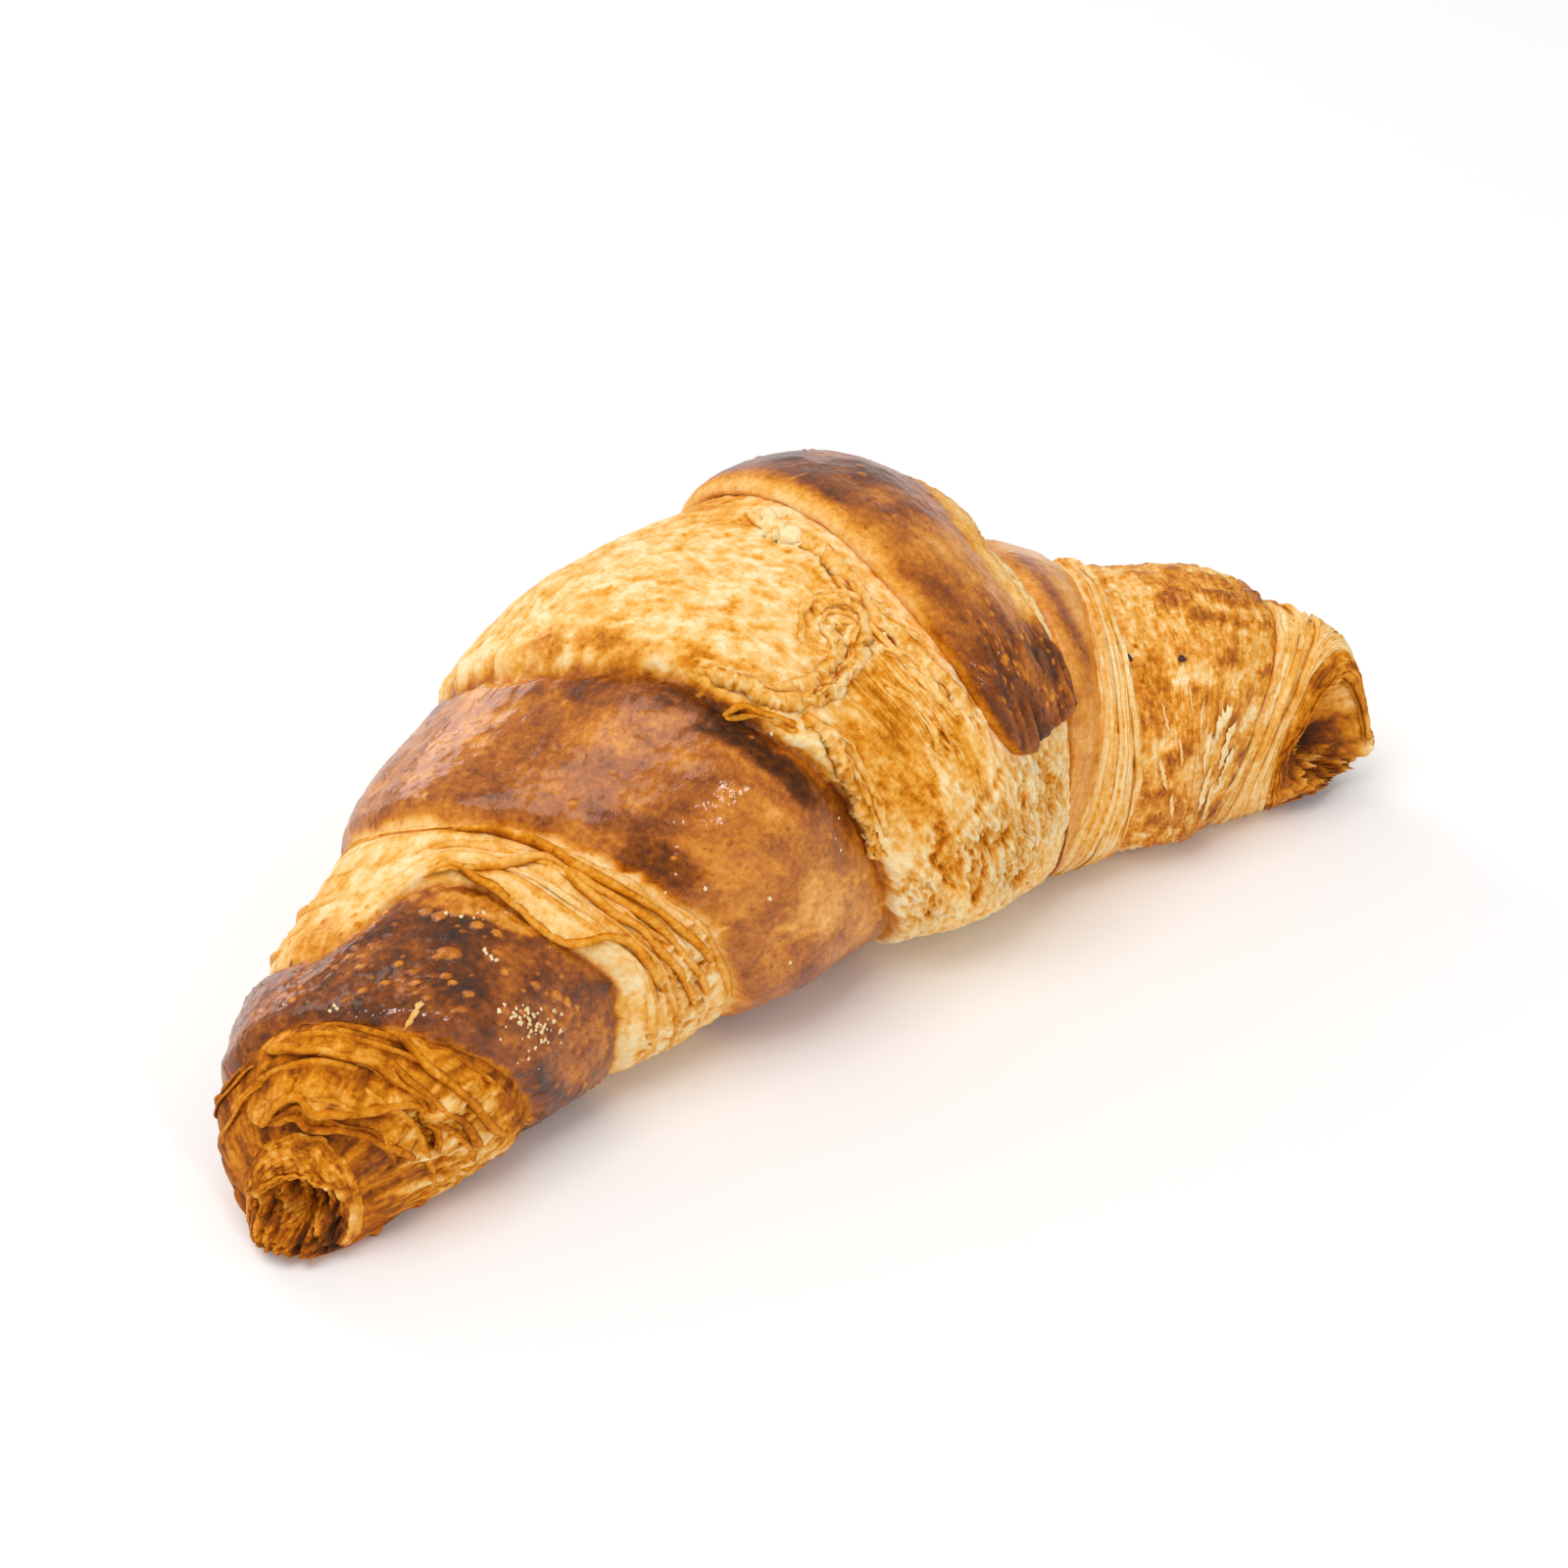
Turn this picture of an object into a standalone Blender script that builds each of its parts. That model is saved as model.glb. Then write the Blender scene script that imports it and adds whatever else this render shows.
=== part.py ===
"""A baked butter croissant, one solid: a triangle of laminated dough rolled up from its base and bent into a crescent.

Frame: metres, +Z up, origin at the bottom centre, +X along the roll from its left tip to its right tip, and both
tips curving towards -Y, the front. Every size below is in millimetres and is turned to metres at the end.

Two coordinates describe the crust. "along" runs down the bent spine, 0 in the middle. "around" is the angle round
the spine: 0 degrees at the front, 90 on top, 180 at the back and 270 underneath. A "turn" is a place along the
spine read on top of the roll, because the turns of dough run round it aslant, like a screw.
"""

import bmesh
import bpy
import numpy as np

MM = 0.001

# The roll as a whole
SPINE_RADIUS = 150.0  # the roll is bent along an arc of this radius
GIRTH = (  # place along the spine, half the width, height: the middle is fuller than the two horns
    (-84.0, 12.5, 31.0),
    (-74.0, 17.0, 33.0),
    (-58.0, 19.4, 38.0),
    (-41.0, 24.8, 43.0),
    (-20.0, 28.8, 56.5),
    (0.0, 27.8, 60.0),
    (20.0, 31.6, 58.8),
    (41.0, 25.0, 45.0),
    (57.0, 19.8, 36.8),
    (73.0, 13.2, 34.6),
    (84.0, 7.8, 30.2),
)
SWAY = (  # how far the spine strays from its arc towards the front
    (-94.0, -2.0),
    (-84.0, -1.0),
    (-66.0, -0.4),
    (-50.0, -0.8),
    (-30.0, -0.8),
    (-10.0, 0.6),
    (10.0, 0.0),
    (66.0, 0.0),
    (84.0, 1.0),
    (94.0, 4.0),
)
LEFT_TIP, RIGHT_TIP = 11.0, 11.0  # beyond the girths above, each tip closes over this length
WIDEST_AT = 0.46  # height of the widest point, as a share of the height
CROWN_POWER, BELLY_POWER = 2.1, 2.8  # superellipse powers of the upper and the lower half
BASE_SINK = 1.2  # how much of the round belly the baking tray has flattened

# The turns are screwed round the roll: place on top, how much further right it lies towards the front, and how many
# degrees below the front it reaches furthest
SLANT = (
    (-94.0, 0.5, 45.0),
    (-83.5, 10.0, 45.0),
    (-62.5, 10.0, 45.0),
    (-51.5, 13.5, 45.0),
    (-28.0, 18.0, 45.0),
    (7.0, 12.0, 45.0),
    (38.0, 1.0, 45.0),
    (45.0, -3.0, 45.0),
    (51.5, 0.0, 45.0),
    (81.0, -7.5, 45.0),
    (91.0, -8.5, 30.0),
)

# What shows on top from the left tip to the right: where it starts and ends, how far it stands out at its start and
# at its end, how much it swells in between, how many folded edges of dough stand on it, and their height
ZONES = (
    ("left frill", -93.0, -83.5, -0.2, 0.6, 0.4, 3, 1.0),
    ("dark turn", -83.5, -62.5, 1.2, 0.6, 1.3, 0, 0.0),
    ("left seam", -62.5, -51.5, 0.3, 1.2, 0.0, 3, 0.7),
    ("broad turn", -51.5, -28.0, 1.8, 0.2, 1.3, 0, 0.0),
    ("pale burst", -28.0, 38.0, 2.2, -0.6, 0.9, 0, 0.0),
    ("narrow turn", 38.0, 45.0, -0.8, -0.3, 0.4, 0, 0.0),
    ("right seam", 45.0, 51.5, 0.2, -0.2, 0.0, 3, 0.35),
    ("mottled turn", 51.5, 81.0, 0.8, 0.2, 1.8, 0, 0.0),
    ("right frill", 81.0, 91.0, 0.6, 0.0, 0.2, 4, 0.4),
)
SEAM_WIDTH = 1.4  # over which one zone steps to the next
CREASE = 0.9  # depth of the crease at the foot of such a step

# The tongue is the corner of the dough triangle, which comes over the top from the back and ends on the front.
TONGUE_LEFT, TONGUE_RIGHT = 7.0, 38.0
TONGUE_END = 21.0  # degrees above the front
TONGUE_THICKNESS = 2.8
TONGUE_EDGE = 1.4  # width of its rounded edge
TONGUE_FADES, TONGUE_FADE = 215.0, 40.0  # degrees, past the back, where it becomes part of the turn below

# The ends of the roll show the rolled core in a hollow: height of its middle, its depth under the top, and how far
# the core juts out on the tray side
LEFT_CORE = 6.0, 4.0, 5.2
RIGHT_CORE = 7.0, 7.0, 5.0
LIP = 0.8

# Mesh density
SIDES = 60
RING_SPACING = 3.4
RINGS_PER_FOLD = 3
END_RINGS = 4

CRUST_COLOUR = (0.50, 0.24, 0.07, 1.0)
CRUST_ROUGHNESS = 0.45


def through(stations, at):
    """A smooth curve through stations (place, value), read at these places."""
    place, value = np.array(stations, float).T
    slope = np.gradient(value, place)
    n = np.clip(np.searchsorted(place, at) - 1, 0, len(place) - 2)
    step = place[n + 1] - place[n]
    t = np.clip((at - place[n]) / step, 0, 1)
    return (
        (2 * t**3 - 3 * t**2 + 1) * value[n]
        + (t**3 - 2 * t**2 + t) * step * slope[n]
        + (3 * t**2 - 2 * t**3) * value[n + 1]
        + (t**3 - t**2) * step * slope[n + 1]
    )


def ramp(low, high, value):
    """0 below low, 1 above high and a smooth S between."""
    t = np.clip((value - low) / (high - low), 0, 1)
    return t * t * (3 - 2 * t)


def along_spine(turn, around):
    """Where a turn that lies at this place on top lies at this angle round the roll."""
    reach = through([(g[0], g[1]) for g in SLANT], turn)
    start = through([(g[0], g[2]) for g in SLANT], turn)
    return turn + reach * (np.cos(np.radians(around + start)) - np.cos(np.radians(90 + start)))


def swelling(turn, around):
    """How far the crust stands out over the plain roll."""
    out = np.zeros(np.broadcast(turn, around).shape)
    half = SEAM_WIDTH / 2
    for _, start, end, first, last, swell, folds, height in ZONES:
        t = np.clip((turn - start) / (end - start), 0, 1)
        crest = first + (last - first) * t + swell * np.sin(np.pi * t)
        if folds:
            wander = 0.12 * np.sin(np.radians(3 * around + 9 * start)) * folds
            crest = crest + height * np.cos(2 * np.pi * (folds * t + wander)) * np.sin(np.pi * t) ** 0.5
        inside = ramp(start - half, start + half, turn) * (1 - ramp(end - half, end + half, turn))
        out = out + inside * crest - CREASE * np.exp(-(((turn - start) / SEAM_WIDTH) ** 2))
    return out + TONGUE_THICKNESS * tongue(turn, around)


def tongue(turn, around):
    """1 on the tongue and 0 off it, with a rounded edge all round."""
    across = ramp(TONGUE_LEFT - TONGUE_EDGE, TONGUE_LEFT + TONGUE_EDGE, turn) * (
        1 - ramp(TONGUE_RIGHT - TONGUE_EDGE, TONGUE_RIGHT + TONGUE_EDGE, turn)
    )
    down = np.mod(around + 90, 360) - 90
    edge = 2 * TONGUE_EDGE  # in degrees: about as wide as the long edges
    return across * ramp(TONGUE_END - edge, TONGUE_END + edge, down) * (
        1 - ramp(TONGUE_FADES, TONGUE_FADES + TONGUE_FADE, down)
    )


def section(along, around, out):
    """Offset from the spine and height of a point of the roll's outline that stands this far out."""
    inner = np.clip(along, GIRTH[0][0], GIRTH[-1][0])
    past = np.abs(along - inner) / np.where(along < 0, LEFT_TIP, RIGHT_TIP)
    closing = np.sqrt(np.clip(1 - past**2, 0.12, 1))
    width = through([(g[0], g[1]) for g in GIRTH], inner) * closing
    height = through([(g[0], g[2]) for g in GIRTH], inner) * closing**0.7
    middle = WIDEST_AT * height
    c, s = np.cos(np.radians(around)), np.sin(np.radians(around))
    power = np.where(s >= 0, CROWN_POWER, BELLY_POWER)
    size = (np.abs(c) ** power + np.abs(s) ** power) ** (-1 / power)
    front = width * c * size
    up = np.where(s >= 0, height - middle, middle) * s * size
    grown = 1 + out * ramp(-0.95, -0.4, s) / np.hypot(front, up)
    return front * grown, np.maximum(middle + up * grown - BASE_SINK, 0)


def in_space(along, front, height):
    """A point in millimetres in the part's frame."""
    bend = along / SPINE_RADIUS
    front = front + through(SWAY, along)
    x = SPINE_RADIUS * np.sin(bend) - front * np.sin(bend)
    y = SPINE_RADIUS * (np.cos(bend) - 1) - front * np.cos(bend)
    return np.stack([x, y, height], -1)


def crust(turn, around):
    """The crust's point for a turn coordinate and an angle."""
    along = along_spine(turn, around)
    return in_space(along, *section(along, around, swelling(turn, around)))


def end_of_roll(rim, outward, around, core_height, depth, foot):
    """Rings from a rim inwards, over a lip and down into the hollow, and the point they close on."""
    core = rim.mean(0)
    core[2] = core_height
    down = (1 - np.sin(np.radians(around))) / 2
    rings = []
    for step in range(1, END_RINGS + 1):
        t = step / (END_RINGS + 1)
        hollow = LIP * np.sin(np.pi * np.clip(3 * t, 0, 1)) - depth * ramp(0.1, 0.8, t)
        jutting = foot * np.sin(np.pi * t) - depth / 2 * ramp(0.4, 1, t)
        ring = rim + (core - rim) * t + outward * (hollow * (1 - down) + jutting * down)[:, None]
        ring[:, 2] = np.maximum(ring[:, 2], 0)
        rings.append(ring)
    return rings, core - outward * depth * 0.6


def ring_places():
    """Turns at which the mesh has a ring: close to each seam on both sides, and evenly between."""
    places = []
    for _, start, end, _, _, _, folds, _ in ZONES:
        count = max(folds * RINGS_PER_FOLD, round((end - start) / RING_SPACING))
        places.extend(np.linspace(start + SEAM_WIDTH / 2, end - SEAM_WIDTH / 2, count))
    for edge in (TONGUE_LEFT, TONGUE_RIGHT):
        places = [place for place in places if abs(place - edge) > 2 * TONGUE_EDGE]
        places.extend([edge - TONGUE_EDGE, edge, edge + TONGUE_EDGE])
    return sorted(places)


def rings_of_roll():
    """All rings of the mesh from the left core to the right core, and the two core points."""
    around = np.arange(SIDES) * 360 / SIDES
    body = [crust(np.full(SIDES, turn), around) for turn in ring_places()]
    bend = GIRTH[-1][0] / SPINE_RADIUS
    left, right = np.array([-np.cos(bend), -np.sin(bend), 0]), np.array([np.cos(bend), -np.sin(bend), 0])
    left_end, left_core = end_of_roll(body[0], left, around, *LEFT_CORE)
    right_end, right_core = end_of_roll(body[-1], right, around, *RIGHT_CORE)
    return left_end[::-1] + body + right_end, left_core, right_core


def crust_material():
    material = bpy.data.materials.new("baked_crust")
    material.use_nodes = True
    shader = material.node_tree.nodes["Principled BSDF"]
    shader.inputs["Base Color"].default_value = CRUST_COLOUR
    shader.inputs["Roughness"].default_value = CRUST_ROUGHNESS
    shader.inputs["Metallic"].default_value = 0.0
    return material


def croissant():
    rings, left_core, right_core = rings_of_roll()
    points = np.concatenate(rings)
    centre = (points.max(0) + points.min(0)) / 2
    centre[2] = 0
    form = bmesh.new()
    loops = [[form.verts.new((point - centre) * MM) for point in ring] for ring in rings]
    for one, other in zip(loops, loops[1:]):
        for n in range(SIDES):
            after = (n + 1) % SIDES
            form.faces.new((one[n], other[n], other[after], one[after]))
    for loop, core, turned in ((loops[0], left_core, False), (loops[-1], right_core, True)):
        tip = form.verts.new((core - centre) * MM)
        for n in range(SIDES):
            pair = loop[n], loop[(n + 1) % SIDES]
            form.faces.new((tip, *(pair[::-1] if turned else pair)))
    bmesh.ops.triangulate(form, faces=form.faces[:])
    bmesh.ops.recalc_face_normals(form, faces=form.faces[:])
    mesh = bpy.data.meshes.new("croissant")
    form.to_mesh(mesh)
    form.free()
    mesh.materials.append(crust_material())
    mesh.shade_smooth()
    part = bpy.data.objects.new("croissant", mesh)
    bpy.context.scene.collection.objects.link(part)
    return part


def main():
    for old in list(bpy.data.objects):
        bpy.data.objects.remove(old)
    croissant()


main()
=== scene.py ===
# %% [markdown]
# # A baked butter croissant
# A croissant is a triangle of laminated dough, rolled up from its base and bent into a crescent. Butter keeps the
# sheets of dough apart, so every edge that shows is a stack of thin leaves. The faces that were brushed with egg turn
# brown and shiny in the oven, and the places that tore open between them stay blond and dull.
#
# This lesson dresses a plain solid of that croissant. All of the crust is one grid of points in two coordinates, which
# follow the dough: "turn" runs along the bent spine, and "around" is the angle round it. Relief and colour are painted
# in those coordinates with numpy, because then a crease, its shadow and its toasted rim always lie in the same place.

# %% Tools and the frame
import math

import bpy
import numpy as np
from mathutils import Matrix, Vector


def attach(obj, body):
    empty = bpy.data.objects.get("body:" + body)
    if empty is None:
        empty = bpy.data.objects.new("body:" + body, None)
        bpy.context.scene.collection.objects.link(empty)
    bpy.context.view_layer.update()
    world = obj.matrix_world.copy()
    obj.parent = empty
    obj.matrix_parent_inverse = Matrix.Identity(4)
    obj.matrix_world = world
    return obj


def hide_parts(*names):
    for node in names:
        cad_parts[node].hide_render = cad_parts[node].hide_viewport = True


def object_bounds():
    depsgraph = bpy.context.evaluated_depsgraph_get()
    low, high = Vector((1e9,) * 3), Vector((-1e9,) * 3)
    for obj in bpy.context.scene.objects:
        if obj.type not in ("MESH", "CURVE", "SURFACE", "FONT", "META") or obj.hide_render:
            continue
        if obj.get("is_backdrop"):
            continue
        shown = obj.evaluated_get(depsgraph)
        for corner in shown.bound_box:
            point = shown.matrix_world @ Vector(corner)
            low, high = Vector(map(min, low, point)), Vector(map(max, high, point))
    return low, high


MM = 0.001
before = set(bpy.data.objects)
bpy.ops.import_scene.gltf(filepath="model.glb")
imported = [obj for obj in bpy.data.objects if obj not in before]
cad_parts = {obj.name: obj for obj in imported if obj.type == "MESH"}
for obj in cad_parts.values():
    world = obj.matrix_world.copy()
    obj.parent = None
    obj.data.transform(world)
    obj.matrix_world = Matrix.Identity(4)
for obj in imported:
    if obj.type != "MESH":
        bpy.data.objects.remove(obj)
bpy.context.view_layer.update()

# %% [markdown]
# ## The view
# The photograph looks down at the croissant from the front left. A lens of 87 mm, half a metre away, gives the same
# mild perspective: the near horn looks a little larger than the far one.

# %% Camera
VIEW_AZIMUTH, VIEW_ELEVATION = math.radians(-35), math.radians(36)
VIEW_DISTANCE = 0.520
LENS_MM = 86.7
AIM = Vector((5.5, -3.05, 20.0)) * MM

back = Vector((
    math.sin(VIEW_AZIMUTH) * math.cos(VIEW_ELEVATION),
    -math.cos(VIEW_AZIMUTH) * math.cos(VIEW_ELEVATION),
    math.sin(VIEW_ELEVATION),
))
lens = bpy.data.cameras.new("camera")
lens.lens = LENS_MM
lens.sensor_width = 36
lens.clip_start, lens.clip_end = 0.01, 10
camera = bpy.data.objects.new("camera", lens)
camera.location = AIM + back * VIEW_DISTANCE
camera.rotation_mode = "QUATERNION"
camera.rotation_quaternion = (-back).to_track_quat("-Z", "Y")
bpy.context.scene.collection.objects.link(camera)
bpy.context.scene.camera = camera
print("camera at", [round(v, 3) for v in camera.location])

# %% [markdown]
# ## The roll
# The numbers below are those of the solid, in millimetres: how thick the roll is along its spine, how the turns are
# screwed round it, and how far each turn stands out. Repeating the formula on a grid ten times finer, instead of
# subdividing the solid, keeps every turn where the solid has it and leaves room for leaves a fraction of a millimetre
# thick.

# %% The shape of the roll
SPINE_RADIUS = 150.0
GIRTH = (  # along the spine, half width, height
    (-84.0, 12.5, 31.0), (-74.0, 17.0, 33.0), (-58.0, 19.4, 38.0), (-41.0, 24.8, 43.0), (-20.0, 28.8, 56.5),
    (0.0, 27.8, 60.0), (20.0, 31.6, 58.8), (41.0, 25.0, 45.0), (57.0, 19.8, 36.8), (73.0, 13.2, 34.6),
    (84.0, 7.8, 30.2),
)
SWAY = (  # along the spine, how far it leans to the front
    (-94.0, -2.0), (-84.0, -1.0), (-66.0, -0.4), (-50.0, -0.8), (-30.0, -0.8), (-10.0, 0.6), (10.0, 0.0),
    (66.0, 0.0), (84.0, 1.0), (94.0, 4.0),
)
TIP_LENGTH = 11.0  # the roll closes over this length past its last girth
WIDEST_AT = 0.46
CROWN_POWER, BELLY_POWER = 2.1, 2.8
BASE_SINK = 1.2
SLANT = (  # along the spine, how far a turn reaches along the roll while it goes round, where that starts
    (-94.0, 0.5, 45.0), (-83.5, 10.0, 45.0), (-62.5, 10.0, 45.0), (-51.5, 13.5, 45.0), (-28.0, 18.0, 45.0),
    (7.0, 12.0, 45.0), (38.0, 1.0, 45.0), (45.0, -3.0, 45.0), (51.5, 0.0, 45.0), (81.0, -7.5, 45.0),
    (91.0, -8.5, 30.0),
)
CENTRE_X = 2.39  # the solid is centred on its box, which moves it this far
print("spine of", len(GIRTH), "girths")

# %% A point of the crust


def through(stations, at):
    """A smooth curve through stations (place, value), read at these places."""
    place, value = np.array(stations, float).T
    slope = np.gradient(value, place)
    n = np.clip(np.searchsorted(place, at) - 1, 0, len(place) - 2)
    step = place[n + 1] - place[n]
    t = np.clip((at - place[n]) / step, 0, 1)
    return (
        (2 * t**3 - 3 * t**2 + 1) * value[n]
        + (t**3 - 2 * t**2 + t) * step * slope[n]
        + (3 * t**2 - 2 * t**3) * value[n + 1]
        + (t**3 - t**2) * step * slope[n + 1]
    )


def ramp(low, high, value):
    """0 below low, 1 above high and a smooth S between."""
    t = np.clip((value - low) / (high - low), 0, 1)
    return t * t * (3 - 2 * t)


def along_spine(turn, around):
    """Where a turn that lies at this place on top lies at this angle round the roll."""
    reach, start = (through([(s[0], s[n]) for s in SLANT], turn) for n in (1, 2))
    return turn + reach * (np.cos(np.radians(around + start)) - np.cos(np.radians(90 + start)))


def on_roll(turn, around, out):
    """The point in millimetres at this place of the crust, which stands this far out."""
    along = along_spine(turn, around)
    inner = np.clip(along, GIRTH[0][0], GIRTH[-1][0])
    past = np.abs(along - inner) / TIP_LENGTH
    closing = np.sqrt(np.clip(1 - past**2, 0.12, 1))
    width, height = (through([(g[0], g[n]) for g in GIRTH], inner) for n in (1, 2))
    width, height = width * closing, height * closing**0.7
    middle = WIDEST_AT * height
    c, s = np.cos(np.radians(around)), np.sin(np.radians(around))
    power = np.where(s >= 0, CROWN_POWER, BELLY_POWER)
    size = (np.abs(c) ** power + np.abs(s) ** power) ** (-1 / power)
    front = width * c * size
    up = np.where(s >= 0, height - middle, middle) * s * size
    grown = 1 + out * ramp(-0.95, -0.4, s) / np.hypot(front, up)
    front, high = front * grown, np.maximum(middle + up * grown - BASE_SINK, 0)
    bend = along / SPINE_RADIUS
    front = front + through(SWAY, along)
    x = SPINE_RADIUS * np.sin(bend) - front * np.sin(bend) + CENTRE_X
    y = SPINE_RADIUS * (np.cos(bend) - 1) - front * np.cos(bend)
    return np.stack([x, y, high], -1)


# %% [markdown]
# ## Noise
# Dough never repeats, so most of what follows is noise: a smooth random field in space. Gradient noise is computed
# here for whole arrays at once. "clouds" adds finer and finer copies of it, and "wrinkles" folds it at zero, which
# turns soft hills into the sharp little ridges of dried dough. Points are in millimetres, so points / 5 gives hills
# five millimetres apart. The whole numbers that follow are a seed and how many finer copies are added.

# %% Noise fields
SHUFFLED = np.random.default_rng(11).permutation(256)
SLOPES = np.random.default_rng(12).normal(size=(256, 3))
SLOPES = (SLOPES / np.linalg.norm(SLOPES, axis=1, keepdims=True)).astype(np.float32)


def noise(points, seed=0):
    """Gradient noise between about -1 and 1, with hills one unit apart."""
    cell = np.floor(points).astype(np.int32)
    part = (points - cell).astype(np.float32)
    fade = part**3 * (part * (part * 6 - 15) + 10)
    total = np.zeros(points.shape[:-1], np.float32)
    for i in (0, 1):
        row = SHUFFLED[(cell[..., 0] + i + seed * 37) & 255]
        share_x = fade[..., 0] if i else 1 - fade[..., 0]
        for j in (0, 1):
            column = SHUFFLED[(row + cell[..., 1] + j) & 255]
            share_y = share_x * (fade[..., 1] if j else 1 - fade[..., 1])
            for k in (0, 1):
                slope = SLOPES[SHUFFLED[(column + cell[..., 2] + k) & 255]]
                lean = (
                    slope[..., 0] * (part[..., 0] - i)
                    + slope[..., 1] * (part[..., 1] - j)
                    + slope[..., 2] * (part[..., 2] - k)
                )
                total += lean * share_y * (fade[..., 2] if k else 1 - fade[..., 2])
    return total * 1.7  # brings the hills to about one


def clouds(points, seed=0, octaves=3):
    return sum(noise(points * 2**n, seed + n) * 0.55**n for n in range(octaves)) / 1.4


def wrinkles(points, seed=0, octaves=3):
    """0 in the folds to 1 on the ridges."""
    return sum((1 - 2 * np.abs(noise(points * 1.9**n, seed + n))) * 0.5**n for n in range(octaves)) / 2.6 + 0.3


# %% [markdown]
# ## The grid
# A seam is where one turn of dough ends and the next shows. On the real croissant no seam runs straight, so each has
# a few stations of its own, and a second coordinate called "place" is stretched between them. In that coordinate every
# seam is a straight line, which makes the zones easy to describe.

# %% The grid of the crust
SPLITS = {"left_roll": (-93.0, -51.5, 0.26), "broad_turn": (-51.5, -28.0, 0.36), "pale_burst": (-28.0, 38.0, 0.36),
          "right_roll": (38.0, 91.0, 0.30)}
rows_of, turns = {}, []
for piece, (start, end, spacing) in SPLITS.items():
    count = round((end - start) / spacing)
    rows_of[piece] = (len(turns), len(turns) + count)
    turns.extend(np.linspace(start, end, count, endpoint=False))
turns = np.array([*turns, SPLITS["right_roll"][1]])
FIRST_ANGLE, COARSE_FROM = -60, 200  # degrees; what looks up or to the front has the finer columns
columns = np.concatenate([np.arange(FIRST_ANGLE, COARSE_FROM, 0.6),
                          np.linspace(COARSE_FROM, FIRST_ANGLE + 360, 71, endpoint=False)])
turn, around = (a.astype(float) for a in np.meshgrid(turns, columns, indexing="ij"))
print("grid", turn.shape, "in pieces", rows_of)

# %% Seams
# Each seam: its place on the solid, and stations (degrees around, turn) where it runs on the real one
SEAMS = (
    (-83.5, ((-60, -82.0), (-20, -82.0), (10, -82.5), (35, -83.2), (65, -84.0), (100, -84.0), (140, -86.0),
             (200, -84.0))),
    (-62.5, ((-60, -64.0), (-20, -64.0), (15, -61.2), (30, -62.0), (55, -61.5), (78, -60.8), (90, -62.5), (97, -68.0),
             (125, -71.5), (160, -69.0), (230, -63.0))),
    (-51.5, ((-60, -49.5), (-15, -50.0), (10, -50.5), (30, -51.0), (60, -51.0), (100, -50.3), (150, -48.5),
             (230, -51.0))),
    (-28.0, ((-60, -24.0), (-31, -25.0), (-11, -25.8), (6, -26.2), (22, -27.0), (34, -28.0), (48, -30.0), (64, -28.5),
             (100, -28.0), (126, -26.5), (220, -27.0))),
    (38.0, ((-60, 30.0), (-36, 32.0), (0, 39.6), (30, 42.6), (60, 42.4), (90, 40.0), (140, 39.0), (220, 38.0))),
    (45.0, ((-60, 44.0), (-20, 46.5), (20, 48.3), (57, 49.5), (85, 50.5), (130, 51.0), (220, 45.5))),
    (51.5, ((-60, 51.0), (-23, 52.0), (6, 53.0), (75, 54.0), (107, 54.5), (150, 54.5), (220, 52.0))),
    (81.0, ((-60, 81.5), (-32, 82.5), (3, 85.3), (25, 85.6), (45, 84.5), (60, 83.0), (84, 80.0), (112, 76.5),
            (150, 76.0), (220, 79.0))),
)


def seam_line(stations, angles):
    """Where a seam runs at these angles; the stations go once round and join up."""
    looped = [((degrees - FIRST_ANGLE) % 360, at) for degrees, at in stations] + [(360, stations[0][1])]
    return through(looped, (angles - FIRST_ANGLE) % 360)


LEFT_END, RIGHT_END = -94.0, 92.0


def seams_at(angles):
    """Where every seam runs at these angles, with the two ends of the roll around them."""
    left, right = (np.full(len(angles), end) for end in (LEFT_END, RIGHT_END))
    return np.array([left, *(seam_line(stations, angles) for _, stations in SEAMS), right])


print(len(SEAMS), "seams")

# %% Place and lay


def laid_out(along, degrees, radius):
    """Points on a cylinder of this radius, along it and round it, which carry the patterns in millimetres."""
    turning = np.radians(degrees)
    return np.stack(np.broadcast_arrays(along, radius * np.cos(turning), radius * np.sin(turning)), -1)


MEAN_RADIUS = 26.0
WAVER = 0.35  # how far the whole pattern strays along the roll, in millimetres
RAGGED = (0.25, 0.35, 0.35, 0.80, 0.20, 0.12, 0.15, 0.20)  # how far each seam frays, in millimetres
nominal = np.array([LEFT_END, *(seam[0] for seam in SEAMS), RIGHT_END])
real = seams_at(columns)
ring = np.stack([np.cos(np.radians(columns)), np.sin(np.radians(columns)), 0 * columns], -1)
for number, frayed in enumerate(RAGGED):
    real[number + 1] += frayed * clouds(ring * 9 + (0, 0, number * 3.7), 15, 3)
strayed = turn + WAVER * noise(laid_out(turn / 9, around, 3), 3)
place = np.empty_like(turn)
for column in range(len(columns)):
    place[:, column] = np.interp(strayed[:, column], real[:, column], nominal)
lay = laid_out(place, around, MEAN_RADIUS)
top_angle = np.mod(around + 90, 360) - 90  # -90 to 270


def fibres(across_mm, along_mm):
    """Coordinates for noise whose marks are this wide, and this long round the roll."""
    return lay / (across_mm, along_mm, along_mm)


# %% [markdown]
# ## Turns, seams and the tongue
# From the left horn to the right one: a frill of leaves, a dark turn, a seam of leaves, the broad brown turn, the
# blond burst with the tongue of the triangle lying over it, a narrow turn, a finely lined seam, a mottled turn and
# another frill. Each zone stands out a little and swells in the middle, as on the solid.

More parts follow.
